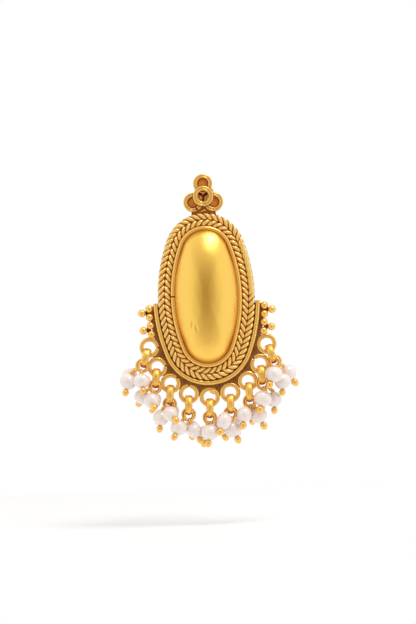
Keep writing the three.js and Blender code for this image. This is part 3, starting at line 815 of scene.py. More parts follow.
SOLDER_LUMP = {"ring": 5, "at": 52, "reach": 1.3, "rise": 0.25, "radius": 0.5}
SMALL_LUMP = {"beside": (-0.45, 0.1, -0.05), "share": 0.7}
rings = [edge_ring(ring_middles[i], RING_SLITS.get(i + 1)) for i in range(RING_COUNT)]
lump_way = np.radians(SOLDER_LUMP["at"])
lump_from_ring = np.array([np.cos(lump_way), np.sin(lump_way), SOLDER_LUMP["rise"]])
lump_middle = ring_middles[SOLDER_LUMP["ring"] - 1] + SOLDER_LUMP["reach"] * lump_from_ring
rings.append(ball(lump_middle, SOLDER_LUMP["radius"]))
rings.append(ball(lump_middle + SMALL_LUMP["beside"], SMALL_LUMP["share"] * SOLDER_LUMP["radius"]))
piece("edge_rings", rings, wire_gold, ["setting"])

# %% [markdown]
# Two groups of three gold balls stand on each side, between the ends of the rail and the first rings:
# bits of wire that were melted until they drew themselves round. A Mirror modifier could make the
# second side. Six places and their mirror images are as short, and leave plain meshes.

# %% Granules
GRANULE_RADIUS = 0.8
GRANULES = [
    {"x": 11.5, "up": -22.1},
    {"x": 13.0, "up": -22.95},
    {"x": 11.45, "up": -23.8},
    {"x": 11.35, "up": -25.45},
    {"x": 12.8, "up": -26.4},
    {"x": 11.2, "up": -27.2},
]
granule_middles = np.array([(side * place["x"], place["up"], GRANULE_RADIUS)
                            for side in (-1, 1) for place in GRANULES])
granules = [ball(middle, GRANULE_RADIUS) for middle in granule_middles]
piece("granules", granules, wire_gold, ["setting"])

# %% [markdown]
# Everything above is soldered to one plate, with a thin web that runs out under the rail to the rings
# and the balls. The web's edge is scalloped, so that it stays under the wire and never shows inside a
# ring. Boolean cuts could make the scallops, but they leave long thin faces. A strip whose outer edge
# is worked out at each step gives all of them in one clean surface.

# %% The web under the rings
PLATE_OFFSET = 3.3
WEB_TOP = 0.5
WEB_LAP = 0.4
WEB_PAST_RINGS = 5.25
WEB_PAST_SHARE = 0.2
WEB_END = RAIL_REACH - 0.004
# The backs of the sheets lie a hair apart, so that no two faces share one plane.
BACK_STEP = 0.05
BACK_TARNISH = 0.3
# Painted shade on the web's face: darkest at its inner edge under the rail, lighter out at the rings.
WEB_SHADE = {"at_rings": 0.58, "at_rail": 0.95}


def web_edge(along):
    """How far the web runs outside the seat, at lengths along the ring line from its lowest point:
    under the wire of a ring, out to the ring line between rings, and a plain width past the last ring."""
    reach = np.full(len(along), RING_OFFSET)
    for at in ring_at * ring_line:
        gap = along - at
        inside_ring = np.abs(gap) < RING_RADIUS
        arc = RING_OFFSET - np.sqrt(np.clip(RING_RADIUS ** 2 - gap ** 2, 0, None))
        reach = np.where(inside_ring, arc, reach)
    past = np.abs(along) > ring_at[-1] * ring_line + WEB_PAST_SHARE * RING_RADIUS
    return np.where(past, WEB_PAST_RINGS, reach)


def slab(inner_line, outer_line, back, front):
    """A flat strip between two lines of equal length: the section is a square carried along them.
    It is rubbed bright behind and dark in front, oxide with painted shade, darkest at its inner edge."""
    edges = [(inner_line, back), (outer_line, back), (outer_line, front), (inner_line, front)]
    rows = [np.column_stack([line, np.full(len(line), level)]) for line, level in edges]
    recess = [BACK_TARNISH, BACK_TARNISH, WEB_SHADE["at_rings"], WEB_SHADE["at_rail"]]
    return skin(np.stack(rows, axis=1), recess=np.array(recess))


t = np.linspace(-WEB_END, WEB_END, num=700)
point, normal, _ = oval(t, RING_OFFSET)
web_reach = web_edge(t * ring_line)
web = slab(point + normal * (PLATE_OFFSET - WEB_LAP - RING_OFFSET),
           point + normal * (web_reach - RING_OFFSET)[:, None], BACK_STEP, WEB_TOP)
print("the web runs out to", web_reach.max(), "mm from the seat")

# %% [markdown]
# The plate itself is a flat oval. A neck joins it to three round discs at the top, which carry the
# crown, and each group of balls has a small tab. They could be one outline, but separate flat pieces
# that overlap, like the real sheets that were soldered together, need only a few points each.

# %% Plate, neck and discs
# The front of the sheets is dark: oxide with painted shade between the parts.
FRONT_SHADE_AND_OXIDE = 0.9
CUP_RADIUS = 1.92
CUP_LAP = 0.1
DISC_TOP = 0.3
CUPS = [
    {"x": 0.0, "up": 2.54, "slit": None},
    {"x": -2.06, "up": -1.14, "slit": {"at": -62, "degrees": 4}},
    {"x": 2.06, "up": -1.14, "slit": None},
]
cup_middles = np.array([(cup["x"], cup["up"]) for cup in CUPS])
NECK = {"foot": (2.6, -4.6), "shoulder": (2.1, -1.0), "top": (0.0, 2.54)}
MIRRORED = np.array([-1, 1])
neck_outline = np.array([MIRRORED * NECK["foot"], NECK["foot"], NECK["shoulder"], NECK["top"],
                         MIRRORED * NECK["shoulder"]])


def flat_piece(outline, back, front, shade_and_oxide=FRONT_SHADE_AND_OXIDE):
    """A flat piece of sheet between two levels, rubbed bright behind and dark in front, oxide with painted
    shade.
    """
    levels = [np.column_stack([outline, np.full(len(outline), level)]) for level in (back, front)]
    return skin(np.stack(levels), recess=np.array([[BACK_TARNISH], [shade_and_oxide]]))


plate_outline = oval(once_round(240), PLATE_OFFSET)[0]
around = full_turn(60)
disc_outline = (CUP_RADIUS - CUP_LAP) * np.column_stack([np.cos(around), np.sin(around)])
tab_outlines = granule_middles[:, :2].reshape(-1, 3, 2)
sheets = [web, flat_piece(plate_outline, 0.0, PLATE_TOP)]
sheets.append(flat_piece(neck_outline, BACK_STEP, PLATE_TOP / 2))
sheets += [flat_piece(outline, 2 * BACK_STEP, WEB_TOP) for outline in tab_outlines]
sheets += [flat_piece(middle + disc_outline, 0.0, DISC_TOP) for middle in cup_middles]
piece("back_plate", sheets, plate_oxide_and_shade, ["setting"])

# %% [markdown]
# The crown has three cups, each walled by two wires laid one inside the other, and a fourth ring of the
# same make that is raised over the place where they meet. Two torus shapes for each wall would cut
# through each other. One turned profile, two half circles side by side on a common wall, is a closed
# body without any cut. It is darkened in the groove between its wires, with oxide and painted shade,
# and with painted shade where the raised ring stands over the cups.

# %% Walls of the crown
CUP_HOLE = 1.1
CUP_FOOT = 0.25
CUP_TOP = 1.5
CREST = 0.95
OUTER_DROP = 1.3
WALL_LOW = {"starts": 0.6, "fade": 0.5, "inside": 0.5, "groove": 0.95}
CROWN_RING_RADIUS = 2.04
CROWN_RING_LIFT = 1.15
RING_SHADE = {"shade_and_oxide": 0.8, "width": 0.25}
CUP_SLIT_DEPTH = 0.5
CUP_SLIT_FLOOR = 1.0


def double_wire(middle, radius, foot, top):
    """Two concentric wires on one wall: half circles of equal width, the outer one a little lower."""
    wire = (radius - CUP_HOLE) / 4
    crest = CREST * wire
    arc = np.linspace(np.pi, 0, num=15)
    inner = np.column_stack([CUP_HOLE + wire + wire * np.cos(arc), top - crest + crest * np.sin(arc)])
    outer = np.column_stack([radius - wire + wire * np.cos(arc),
                             top - OUTER_DROP * crest + crest * np.sin(arc)])
    profile = np.vstack([[(CUP_HOLE, foot)], inner, outer, [(radius, foot)]])
    # Painted shade with oxide: each wire is darker low down, most in the groove between the two.
    low = np.clip((WALL_LOW["starts"] - np.sin(arc)) / WALL_LOW["fade"], 0, 1)
    low = low * np.where(np.cos(arc) > 0, WALL_LOW["groove"], WALL_LOW["inside"])
    recess = np.concatenate([[1.0], low, low[::-1], [1.0]])
    return turned(profile, np.array([*middle, 0.0]), OUT, sides=72, loop=True, recess=recess)


def shaded_cup(middle, slit):
    """A cup's wall, darkened with painted shade where the raised ring stands over it, and in its slit."""
    corners, faces, recess = double_wire(middle, CUP_RADIUS, CUP_FOOT, CUP_TOP)
    # Painted shade of the raised ring on the cup walls.
    beside_ring = np.hypot(corners[:, 0], corners[:, 1]) - CROWN_RING_RADIUS
    shade = RING_SHADE["shade_and_oxide"] * np.exp(-(beside_ring / RING_SHADE["width"]) ** 2)
    recess = np.maximum(recess, shade)
    if slit:
        aside = corners[:, :2] - middle
        gap = np.degrees(np.arctan2(aside[:, 1], aside[:, 0])) - slit["at"]
        groove = np.exp(-(gap / slit["degrees"]) ** 2)
        corners[:, 2] -= CUP_SLIT_DEPTH * groove * (corners[:, 2] > CUP_SLIT_FLOOR)
        recess = np.maximum(recess, groove)
    return corners, faces, recess


walls = [shaded_cup(middle, cup["slit"]) for middle, cup in zip(cup_middles, CUPS)]
walls.append(double_wire((0, 0), CROWN_RING_RADIUS, CROWN_RING_LIFT, CROWN_RING_LIFT + CUP_TOP))
print("walls of the crown:", len(walls))

# %% [markdown]
# Solder holds the crown together. A few grains of it lie at the foot, and in the hole of the raised
# ring three lumps bridge the cups and leave a dark gap of three arms between them. Metaballs would flow
# together in the same way, but their mesh can't be foreseen, so each lump is a plain ball that sinks
# into the walls.

# %% Solder of the crown
CROWN_GRAINS = [
    {"x": 0.2, "up": -2.75, "out": 0.9, "radius": 0.34},
    {"x": -0.3, "up": -2.95, "out": 0.8, "radius": 0.3},
    {"x": 1.78, "up": 1.25, "out": 0.75, "radius": 0.4},
]
# Painted shade: the lumps that the raised ring hides from the lamp have a higher recess.
HOLE_SOLDER = [
    {"at": 90, "reach": 0.74, "radius": 0.5, "out": 0.92, "recess": 0.45},
    {"at": 205, "reach": 0.62, "radius": 0.52, "out": 1.08, "recess": 0.0},
    {"at": 335, "reach": 0.66, "radius": 0.5, "out": 0.98, "recess": 0.5},
]


def hole_lump(lump):
    """A ball of solder at an angle and reach from the crown's middle, darkened at least by its recess:
    painted shade.
    """
    way = np.radians(lump["at"])
    middle = np.array([lump["reach"] * np.cos(way), lump["reach"] * np.sin(way), lump["out"]])
    corners, faces, recess = ball(middle, lump["radius"])
    return corners, faces, np.maximum(recess, lump["recess"])


for grain in CROWN_GRAINS:
    walls.append(ball(np.array([grain["x"], grain["up"], grain["out"]]), grain["radius"]))
walls += [hole_lump(lump) for lump in HOLE_SOLDER]
piece("crown_cups", walls, wire_gold, ["setting"])

# %% [markdown]
# The floors of the cups are discs of their own, left rough, and darker towards the wall, which is
# painted shade in the corner. The walls could be closed below instead, but a floor of its own can have
# its own material. The neck's front and the pool of solder under the raised ring are the same
# unpolished metal, and their brown is painted shade under the cups and deep in the raised ring's hole.

# %% Floors of the crown
CUP_FLOOR = 0.85
FLOOR_FOOT = 0.2
FLOOR_LAP = 0.2
FLOOR_PALE_SHARE = 0.7
# Painted shade: the floor darkens towards the wall, the neck under the cups, the pool in the ring's hole.
FLOOR_SHADE = [1.0, 1.0, 1.0, 0.1, 0.0]
AXIS_GAP = 0.02
SHADE_POOL = {"radius": CROWN_RING_RADIUS - 0.5, "foot": 0.3, "top": 0.85}
NECK_SHADE = 0.55


def cup_floor(middle):
    """A cup's rough floor, darker towards its wall: painted shade."""
    lap = CUP_HOLE + FLOOR_LAP
    profile = [(lap, FLOOR_FOOT), (lap, CUP_FLOOR), (CUP_HOLE, CUP_FLOOR),
               (FLOOR_PALE_SHARE * CUP_HOLE, CUP_FLOOR), (AXIS_GAP, CUP_FLOOR)]
    return turned(profile, np.array([*middle, 0.0]), OUT, sides=40, recess=FLOOR_SHADE)


shade_pool_profile = [(SHADE_POOL["radius"], SHADE_POOL["foot"]), (SHADE_POOL["radius"], SHADE_POOL["top"]), (AXIS_GAP, SHADE_POOL["top"])]
floors = [cup_floor(middle) for middle in cup_middles]
floors.append(flat_piece(neck_outline, PLATE_TOP / 2, PLATE_TOP, NECK_SHADE))
floors.append(turned(shade_pool_profile, np.zeros(3), OUT, sides=32, recess=1.0))
piece("cup_floors", floors, cup_copper, ["setting"])

# %% [markdown]
# A plain straight post on a round pad stands behind the crown, where such an earring goes through the
# lobe. Two cylinders would do, with bevels on them. One turned profile has the pad's worn edges, the
# fillet of solder at the post's foot and the rounded tip in a single closed body.

# %% Ear post
POST_RADIUS = 0.45
POST_LENGTH = 10.5
POST_FILLET = 0.15
PAD_RADIUS = 1.6
PAD_THICKNESS = 0.5
PAD_EDGE = 0.1
TIP_GAP = 0.05
pad_top = CLEARANCE + PAD_THICKNESS
post_tip = CLEARANCE + POST_LENGTH
tip_angle = np.linspace(0, np.pi / 2 - TIP_GAP, num=8)
post_profile = np.vstack([
    [(AXIS_GAP, CLEARANCE), (PAD_RADIUS - PAD_EDGE, CLEARANCE), (PAD_RADIUS, CLEARANCE + PAD_EDGE)],
    [(PAD_RADIUS, pad_top - PAD_EDGE), (PAD_RADIUS - PAD_EDGE, pad_top)],
    [(POST_RADIUS + POST_FILLET, pad_top), (POST_RADIUS, pad_top + POST_FILLET)],
    np.column_stack([POST_RADIUS * np.cos(tip_angle),
                     post_tip - POST_RADIUS + POST_RADIUS * np.sin(tip_angle)]),
])
post = turned(post_profile, np.zeros(3), -OUT, sides=32)
piece("ear_post", [post], wire_gold, ["ear_post"])

# %% [markdown]
# Each edge ring carries a link: a broad band bent into an oval loop, seen from its edge. A scaled torus
# would be as thick as it is wide. Here the middle line is an ellipse in the plane of up and out, and
# the section is a flattened oval that is a little wider at the top of the loop than at its foot. At
# both ends, where its neighbours crowd it, and on its inner side, the band is darkened as painted shade.

# %% Links
LINK_HALF_LENGTH = 1.6
LINK_HALF_DEPTH = 1.32
LINK_HALF_BAND = 0.4
LINK_HALF_WIDTH = 0.72
LINK_TAPER = 0.08
LINK_FULLNESS = 2.4
LINK_SIDES = 20
LINK_ENDS = {"shift": 0.06, "starts": 0.78, "fade": 0.16}
DROPS = [
    {"lean": -18, "ring_lean": -42, "bend": 32},
    {"lean": -6, "ring_lean": -10, "bend": 32},
    {"lean": -5, "ring_lean": 0, "bend": 0},
    {"lean": -3, "ring_lean": 5, "bend": 0},
    {"lean": -3, "ring_lean": 2, "bend": 0},
    {"lean": -1, "ring_lean": 5, "bend": 0},
    {"lean": 2, "ring_lean": 5, "bend": 0},
    {"lean": 3, "ring_lean": 25, "bend": 32},
    {"lean": 18, "ring_lean": 42, "bend": 32},
]


def down_at(degrees):
    """The direction that leans this far from straight down, towards +x."""
    return np.array([np.sin(np.radians(degrees)), -np.cos(np.radians(degrees)), 0.0])


def link(middle, lean):
    """The loop (L cos a) down + (D sin a) out. Its section is an oval whose width w - t cos a tapers from
    the top of the loop to its foot."""
    angle = full_turn(64)
    path = (middle + LINK_HALF_LENGTH * np.cos(angle)[:, None] * down_at(lean)
            + LINK_HALF_DEPTH * np.sin(angle)[:, None] * OUT)
    section = full_turn(LINK_SIDES)
    width = LINK_HALF_WIDTH - LINK_TAPER * np.cos(angle)
    reach = ((np.abs(np.cos(section)) / LINK_HALF_BAND) ** LINK_FULLNESS
             + (np.abs(np.sin(section)) / width[:, None]) ** LINK_FULLNESS) ** (-1 / LINK_FULLNESS)
    # Painted shade: darker on the inner side of the band and at both ends of the loop.
    from_middle = np.abs(np.cos(angle) + LINK_ENDS["shift"])
    ends = np.clip((from_middle - LINK_ENDS["starts"]) / LINK_ENDS["fade"], 0, 1)
    recess = np.maximum(np.clip(-np.cos(section), 0, 1), ends[:, None])
    return tube(path, reach, path - middle, sides=LINK_SIDES, loop=True, recess=recess)


for number, drop in enumerate(DROPS, 1):
    name = f"link_{number}"
    piece(f"gold_{name}", [link(middle_of(name), drop["lean"])], link_gold, [name])

# %% [markdown]
# Three freshwater pearls hang from each link. They are near-round but never quite. A sphere with a
# noise displacement would look dented. Here each is a ball pulled to its width and length, with a few
# slow swells over its surface, which is how nacre grows. The swells are drawn from a seeded chance, so
# that they are the same on each run.

# %% Pearls: places and sizes
PEARLS = {
    "1a": {"lean": -15, "tilt": 10, "width": 3.0, "length": 3.1},
    "1b": {"lean": 6, "tilt": 25, "width": 3.1, "length": 2.8},
    "1c": {"lean": -40, "tilt": -30, "width": 2.9, "length": 2.9},
    "2a": {"lean": 20, "tilt": 58, "width": 3.2, "length": 3.0},
    "2b": {"lean": -25, "tilt": -42, "width": 2.9, "length": 2.9},
    "2c": {"lean": -13, "tilt": -15, "width": 2.9, "length": 2.9},
    "3a": {"lean": -8, "tilt": 0, "width": 3.1, "length": 3.1},
    "3b": {"lean": 40, "tilt": 45, "width": 3.0, "length": 2.9},
    "3c": {"lean": 5, "tilt": -40, "width": 2.9, "length": 2.9},
    "4a": {"lean": -27, "tilt": 30, "width": 3.2, "length": 3.1},
    "4b": {"lean": 30, "tilt": 0, "width": 2.8, "length": 3.0},
    "4c": {"lean": 5, "tilt": -38, "width": 2.9, "length": 2.9},
    "5a": {"lean": -10, "tilt": 10, "width": 3.3, "length": 3.0},
    "5b": {"lean": -11, "tilt": -10, "width": 2.9, "length": 2.9},
    "5c": {"lean": 28, "tilt": -15, "width": 2.8, "length": 2.9},
    "6a": {"lean": -22, "tilt": 20, "width": 3.0, "length": 3.3},
    "6b": {"lean": 25, "tilt": 0, "width": 3.2, "length": 3.1},
    "6c": {"lean": 20, "tilt": -35, "width": 2.9, "length": 2.9},
    "7a": {"lean": -9, "tilt": 10, "width": 3.0, "length": 3.0},
    "7b": {"lean": 24, "tilt": 0, "width": 3.2, "length": 3.0},
    "7c": {"lean": 6, "tilt": -25, "width": 2.9, "length": 2.9},
    "8a": {"lean": -20, "tilt": 15, "width": 3.3, "length": 3.1},
    "8b": {"lean": 1, "tilt": 0, "width": 3.0, "length": 3.0},
    "8c": {"lean": -5, "tilt": -25, "width": 2.9, "length": 2.9},
    "9a": {"lean": -25, "tilt": 15, "width": 3.2, "length": 3.1},
    "9b": {"lean": -2, "tilt": 0, "width": 3.0, "length": 3.0},
    "9c": {"lean": 33, "tilt": 0, "width": 3.0, "length": 3.1},
}


def pin_axis(pearl):
    """The direction of a pearl's pin, from its wrapped end to its ball head."""
    flat = np.cos(np.radians(pearl["tilt"]))
    return flat * down_at(pearl["lean"]) + np.sin(np.radians(pearl["tilt"])) * OUT


print("pearls:", len(PEARLS))

# %% Pearls
PEARL_GROWTH = 1.06
PEARL_SWELLS = np.array([0.05, 0.035, 0.025, 0.018])
SWELL_SHARE = (0.35, 1.0)
CHANCE_SEED = 9
chance = np.random.default_rng(CHANCE_SEED)


def pearl_skin(middle, axis, width, length):
    """A ball whose radius swells by a few per cent: 1 + a sum of four small waves over its angles."""
    polar = np.linspace(0, np.pi, num=34)[1:-1, None]
    around = full_turn(48)[None]
    phase = chance.uniform(0, 2 * np.pi, len(PEARL_SWELLS))
    size = chance.uniform(*SWELL_SHARE, len(PEARL_SWELLS)) * PEARL_SWELLS
    swell = (1 + size[0] * np.sin(polar) ** 2 * np.cos(2 * around + phase[0])
             + size[1] * np.cos(2 * polar + phase[1]) * np.cos(around + phase[2])
             + size[2] * np.sin(3 * polar + phase[2])
             + size[3] * np.sin(polar) ** 3 * np.cos(3 * around + phase[3]))
    side, across = square_to(axis, OUT, RIGHT)
    ring = np.sin(polar)[..., None] * (np.cos(around)[..., None] * side
                                       + np.sin(around)[..., None] * across)
    pole = -np.cos(polar)[..., None] * axis * np.ones_like(around)[..., None]
    return skin(middle + PEARL_GROWTH * swell[..., None] * (width / 2 * ring + length / 2 * pole))


for key, pearl in PEARLS.items():
    node = f"pearl_{key}"
    made = pearl_skin(middle_of(node), pin_axis(pearl), pearl["width"], pearl["length"])
    piece(f"freshwater_{node}", [made], pearl_nacre, [node])

# %% [markdown]
# Under each link hangs a thin wire ring, and two thinner loops through the same link. They could be
# bevelled curves. As tubes along circles they share one function with the eyes of the pins, and join
# their neighbours in one mesh for each drop.

# %% Wire rings of the drops
PIN_WIRE = 0.24
PIN_RING_RADIUS = 1.22
PIN_RING_HANG = 0.26
PIN_RING_TILT = np.radians(-6)
# Each thin ring and loop is darkened all over by one fixed amount.
PIN_RING_DARKENING = 0.15
SIDE_LOOPS = [
    {"radius": 1.08, "turn": np.radians(30), "hang": 0.2, "wire": 0.21},
    {"radius": 0.98, "turn": np.radians(-34), "hang": 0.1, "wire": 0.21},
]
SIDE_LOOP_DARKENING = 0.1


def circle(middle, radius, first, second, steps):
    """A circle's points and outward directions in the plane of two square directions."""
    angle = full_turn(steps)[:, None]
    outwards = np.cos(angle) * first + np.sin(angle) * second
    return middle + radius * outwards, outwards


def ring_plane(flat):
    """A direction in the face, turned about x into the plane of the tilted ring."""
    return np.array([flat[0], flat[1] * np.cos(PIN_RING_TILT), flat[1] * np.sin(PIN_RING_TILT)])


def pin_ring_middle(number):
    """The thin ring's middle: below the link's middle, slid round the link's bend and hung a little."""
    drop = DROPS[number - 1]
    bend = np.radians(drop["bend"])
    return (middle_of(f"link_{number}") + LINK_HALF_LENGTH * np.cos(bend) * down_at(drop["lean"])
            + PIN_RING_HANG * down_at(drop["ring_lean"]) + [0, 0, LINK_HALF_DEPTH * np.sin(bend)])


def pin_ring(middle):
    """The thin ring that the pins hang on, a tube along a tilted circle."""
    path, outwards = circle(middle, PIN_RING_RADIUS, ring_plane((1, 0)), ring_plane((0, 1)), steps=48)
    return tube(path, PIN_WIRE, outwards, sides=10, loop=True, recess=PIN_RING_DARKENING)


def side_loop(ring_middle, loop):
    """A thinner loop through the same link, turned about the upright axis."""
    sideways = np.array([np.cos(loop["turn"]), 0, np.sin(loop["turn"])])
    middle = ring_middle - [0, loop["hang"], 0]
    path, outwards = circle(middle, loop["radius"], sideways, UP, steps=44)
    return tube(path, loop["wire"], outwards, sides=8, loop=True, recess=SIDE_LOOP_DARKENING)


print("middle of the first thin ring:", pin_ring_middle(1).round(2))

# %% [markdown]
# Every pearl sits on a head pin: a wire with a ball at one end, which is put through the pearl, bent
# round the ring as a small eye, and wrapped round its own neck. One long curve could follow all of
# that, with many points to place. Four short shapes that overlap need only the ring's place and the
# pearl's.

# %% Head pins: eyes and wrapped necks
EYE_RADIUS = 0.4
# The eyes and the wrapped necks are darkened all over by one fixed amount.
EYE_DARKENING = 0.35
NECK_WIRE_DARKENING = 0.4
WRAP_WIRE = 0.16
WRAP_REACH = 0.208
WRAP_PITCH = 2.1
WRAP_LEAST = 1.5
WRAP_STARTS = 0.1
WRAP_STEPS = 14


def wrapped_neck(top, neck, reach, side, across):
    """Fine wire wound round the pin's neck: a helix of radius r along it, its turns about a wire apart."""
    turns = max(WRAP_LEAST, reach / (WRAP_PITCH * WRAP_WIRE))
    share = np.linspace(WRAP_STARTS, 1, int(turns * WRAP_STEPS))[:, None]
    turn = 2 * np.pi * turns * share
    radial = np.cos(turn) * side + np.sin(turn) * across
    path = top + neck * reach * share + WRAP_REACH * radial
    return tube(path, WRAP_WIRE, radial, sides=8, recess=NECK_WIRE_DARKENING)


def pin_eye(top, towards):
    """The small eye round the thin ring, in the plane of the pin and of the line out of the face."""
    path, outwards = circle(top, EYE_RADIUS, towards, OUT, steps=20)
    return tube(path, WRAP_WIRE, outwards, sides=8, loop=True, recess=EYE_DARKENING)


print("a wrapped turn is", round(2 * (WRAP_REACH + WRAP_WIRE), 2), "mm wide")

# %% Head pins: shanks and ball heads
HEAD_RADIUS = 0.7
HEAD_VARIES = (0.9, 1.06)
HEAD_EGG = 0.14
HEAD_LENGTH = 1.12
HEAD_SINKS = 0.1
HEAD_SHADE = 0.7
HEAD_OPEN = {"foot": 0.32, "tip": 0.05}
SHANK_TWIST = 0.01


def pin_head(end, axis):
    """A ball head, egg-shaped: its radius is r sin a (1 + e cos a), and it is darker beside the pearl:
    painted shade, with oxide.
    """
    angle = np.linspace(HEAD_OPEN["foot"], np.pi - HEAD_OPEN["tip"], num=16)
    size = HEAD_RADIUS * chance.uniform(*HEAD_VARIES)
    profile = np.column_stack([size * np.sin(angle) * (1 + HEAD_EGG * np.cos(angle)),
                               size * (1 - np.cos(angle)) * HEAD_LENGTH])
    recess = np.clip(HEAD_SHADE - profile[:, 1], 0, 1)
    return turned(profile, end - axis * HEAD_SINKS, axis, sides=24, recess=recess)


def head_pin(ring_middle, key):
    """Eye, wrapped neck, shank and ball head of one pearl's pin."""
    pearl = PEARLS[key]
    axis = pin_axis(pearl)
    foot = middle_of(f"pearl_{key}") - axis * (pearl["length"] / 2 + CLEARANCE)
    end = foot + axis * (pearl["length"] + 2 * CLEARANCE)
    towards = (foot - ring_middle) * [1, 1, 0]
    towards = ring_plane(towards / np.linalg.norm(towards))
    top = ring_middle + PIN_RING_RADIUS * towards
    reach = np.linalg.norm(foot - top)
    neck = (foot - top) / reach
    side, across = square_to(neck, towards, OUT, nearly_along=0.9)
    # A little of across keeps the shank's side off the line of its own bend.
    shank_side = side + SHANK_TWIST * across
    shank = tube(np.array([top, foot, end]), PIN_WIRE, shank_side, sides=10, recess=NECK_WIRE_DARKENING)
    wrap = wrapped_neck(top, neck, reach, side, across)
    return [pin_eye(top, towards), wrap, shank, pin_head(end, axis)]


for number in range(1, RING_COUNT + 1):
    middle = pin_ring_middle(number)
    wires = [pin_ring(middle)] + [side_loop(middle, loop) for loop in SIDE_LOOPS]
    for letter in "abc":
        wires += head_pin(middle, f"{number}{letter}")
    piece(f"head_pins_{number}", wires, pin_gold, [f"pins_{number}"])

# %% [markdown]
# The earring is seen face on, with the camera turned by under two degrees. At 0.2 mm to a pixel the
# picture is 83.2 by 124.8 mm at the face. A short lens close by would do, but it would show the dome
# larger than its border. A long lens from half a metre keeps both in proportion, as in a jeweller's
# picture.

# %% Camera
PICTURE = {"width": 416, "height": 624}
PIXEL_MM = 0.2
PICTURE_MIDDLE = {"x": 0.22, "up": -23.09}
CAMERA_DISTANCE = 500.0
CAMERA_ROLL = np.radians(1.9)
SENSOR = 36.0
CLIP_START = 10.0

lens = bpy.data.cameras.new("portrait_lens")
lens.sensor_width = SENSOR
lens.lens = SENSOR * CAMERA_DISTANCE / (PICTURE["height"] * PIXEL_MM)
lens.clip_start = CLIP_START * MM
camera = bpy.data.objects.new("camera", lens)
bpy.context.scene.collection.objects.link(camera)
roll_cos, roll_sin = np.cos(CAMERA_ROLL), np.sin(CAMERA_ROLL)
camera.matrix_world = Matrix((
    (roll_cos, roll_sin, 0, PICTURE_MIDDLE["x"] * MM),
    (0, 0, -1, -CAMERA_DISTANCE * MM),
    (-roll_sin, roll_cos, 0, PICTURE_MIDDLE["up"] * MM),
    (0, 0, 0, 1),
))
bpy.context.scene.camera = camera
print("lens:", round(lens.lens, 1), "mm")

# %% [markdown]
# The light is a white tent with a gap in front, where the camera looks in. A polished dome mirrors that
# gap as a soft dark band down its middle, which is what makes it look like metal. The tent could be
# built from white sheets and lamps. A world background that is darker and warmer towards the gap, and
# darkest at the lens in its middle, gives the same mirror image with less noise. Behind the earring the
# picture stays plain white.

# %% The white tent
TENT_BACK = 0.88
GAP_COLOUR = "#A48E74"
GAP_NARROW = 1.15
GAP_LIFT = 0.08
GAP_BELOW = 0.7
GAP_STARTS = 0.06
LENS_COLOUR = "#866C52"
LENS_REACH = 0.2

world = bpy.data.worlds.new("white_tent")
bpy.context.scene.world = world
world.use_nodes = True
sky = world.node_tree
sky.nodes.clear()
way = add(sky, "ShaderNodeTexCoord")
parts = add(sky, "ShaderNodeSeparateXYZ", None, {"Vector": way.outputs["Generated"]})
wide = add(sky, "ShaderNodeMath", {"operation": "MULTIPLY"}, {0: parts.outputs["X"], 1: GAP_NARROW})
rise = add(sky, "ShaderNodeMath", {"operation": "SUBTRACT"}, {0: parts.outputs["Z"], 1: GAP_LIFT})
fall = add(sky, "ShaderNodeMath", {"operation": "MULTIPLY"}, {0: rise.outputs["Value"], 1: -GAP_BELOW})
tall = add(sky, "ShaderNodeMath", {"operation": "MAXIMUM"},
           {0: rise.outputs["Value"], 1: fall.outputs["Value"]})
spread = add(sky, "ShaderNodeCombineXYZ", None, {"X": wide.outputs["Value"], "Y": tall.outputs["Value"]})
from_lens = add(sky, "ShaderNodeVectorMath", {"operation": "LENGTH"}, {"Vector": spread.outputs["Vector"]})
behind = add(sky, "ShaderNodeMath", {"operation": "GREATER_THAN"}, {0: parts.outputs["Y"], 1: 0.0})
far = add(sky, "ShaderNodeMath", {"operation": "ADD"},
          {0: from_lens.outputs["Value"], 1: behind.outputs["Value"]})
print("nodes that measure the way from the lens:", len(sky.nodes))

# %% The tent's light and the plain white behind the earring
bright = add(sky, "ShaderNodeMapRange", None,
             {"Value": far.outputs["Value"], "From Min": GAP_STARTS, "From Max": 1.0})
lens_edge = add(sky, "ShaderNodeMapRange", None, {"Value": far.outputs["Value"], "From Max": LENS_REACH})
gap = add(sky, "ShaderNodeMix", {"data_type": "RGBA"},
          {"Factor": lens_edge.outputs["Result"], MIX_FIRST: colour(LENS_COLOUR),
           MIX_SECOND: colour(GAP_COLOUR)})
cloth = add(sky, "ShaderNodeMix", {"data_type": "RGBA"},
            {"Factor": bright.outputs["Result"], MIX_FIRST: gap.outputs[MIX_COLOUR],
             MIX_SECOND: colour("#FFFFFF")})
back = add(sky, "ShaderNodeMapRange", None,
           {"Value": parts.outputs["Y"], "From Max": 0.8, "To Min": 1.0, "To Max": TENT_BACK})
tent = add(sky, "ShaderNodeBackground", None,
           {"Color": cloth.outputs[MIX_COLOUR], "Strength": back.outputs["Result"]})
plain = add(sky, "ShaderNodeBackground", None, {"Color": colour("#FFFFFF"), "Strength": 1.0})
seen = add(sky, "ShaderNodeLightPath")
both = add(sky, "ShaderNodeMixShader", None,
           {0: seen.outputs["Is Camera Ray"], 1: tent.outputs["Background"],
            2: plain.outputs["Background"]})
add(sky, "ShaderNodeOutputWorld", None, {"Surface": both.outputs["Shader"]})
print("nodes in the tent:", len(sky.nodes))

# %% [markdown]
# One oval lamp above, to the right, gives the dome its highlight and the ropes their small lights. A
# point lamp would give hard shadows and pin-sharp lights. A large soft one reads as a lit window.

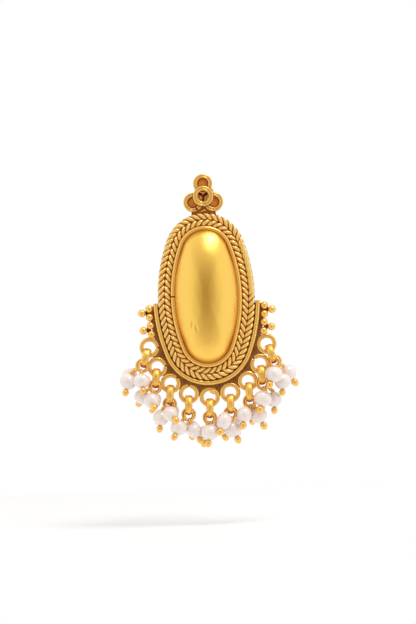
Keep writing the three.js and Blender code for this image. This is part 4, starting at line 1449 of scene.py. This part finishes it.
# %% Key lamp
def lamp(name, place_mm, aim_mm, size_mm, watts):
    """An oval soft lamp that looks at a point."""
    light = bpy.data.lights.new(name, "AREA")
    light.shape = "ELLIPSE"
    light.size, light.size_y = size_mm[0] * MM, size_mm[1] * MM
    light.energy = watts
    made = bpy.data.objects.new(name, light)
    place, aim = np.array(place_mm) * MM, np.array(aim_mm) * MM
    back = (place - aim) / np.linalg.norm(place - aim)
    side = np.cross([0, 0, 1.0], back)
    side /= np.linalg.norm(side)
    over = np.cross(back, side)
    turn = np.column_stack([side, over, back, place])
    made.matrix_world = Matrix(np.vstack([turn, [0, 0, 0, 1]]).tolist())
    made.visible_camera = False
    bpy.context.scene.collection.objects.link(made)
    print(name, "gives", watts, "W")


lamp("key_lamp", place_mm=(110, -130, 300), aim_mm=(0, 0, -20), size_mm=(215, 108), watts=0.45)

# %% [markdown]
# The floor is plain white paper, a little below the lowest pearl, so that the earring seems to hang
# over a table. A curved backdrop could hide its far edge. A flat sheet that glows a little runs into
# the white behind it, and leaves a soft shadow.

# %% Floor
FLOOR_DROP = 16.0
FLOOR_WIDE = (-70, 70)
FLOOR_DEEP = (-35, 105)
floor_mesh = bpy.data.meshes.new("floor")
floor_level = cad_box[0][2] - FLOOR_DROP * MM
floor_corners = [(x * MM, y * MM, floor_level) for y in FLOOR_DEEP for x in FLOOR_WIDE]
floor_mesh.from_pydata(floor_corners, [], [(0, 1, 3, 2)])
floor_paint, floor_tree = new_material("white_paper")
paper = add(floor_tree, "ShaderNodeBsdfPrincipled", None,
            {"Base Color": colour("#EAEAEA"), "Roughness": 0.9, "Emission Color": colour("#FFFFFF"),
             "Emission Strength": 0.1})
add(floor_tree, "ShaderNodeOutputMaterial", None, {"Surface": paper.outputs["BSDF"]})
floor_mesh.materials.append(floor_paint)
floor = bpy.data.objects.new("floor", floor_mesh)
bpy.context.scene.collection.objects.link(floor)
bpy.context.scene.view_settings.view_transform = "Standard"
print("floor at", round(floor_level / MM, 1), "mm")

# %% [markdown]
# The dressed earring has to keep the size of the solids.

# %% End of the scene
print("scene built")
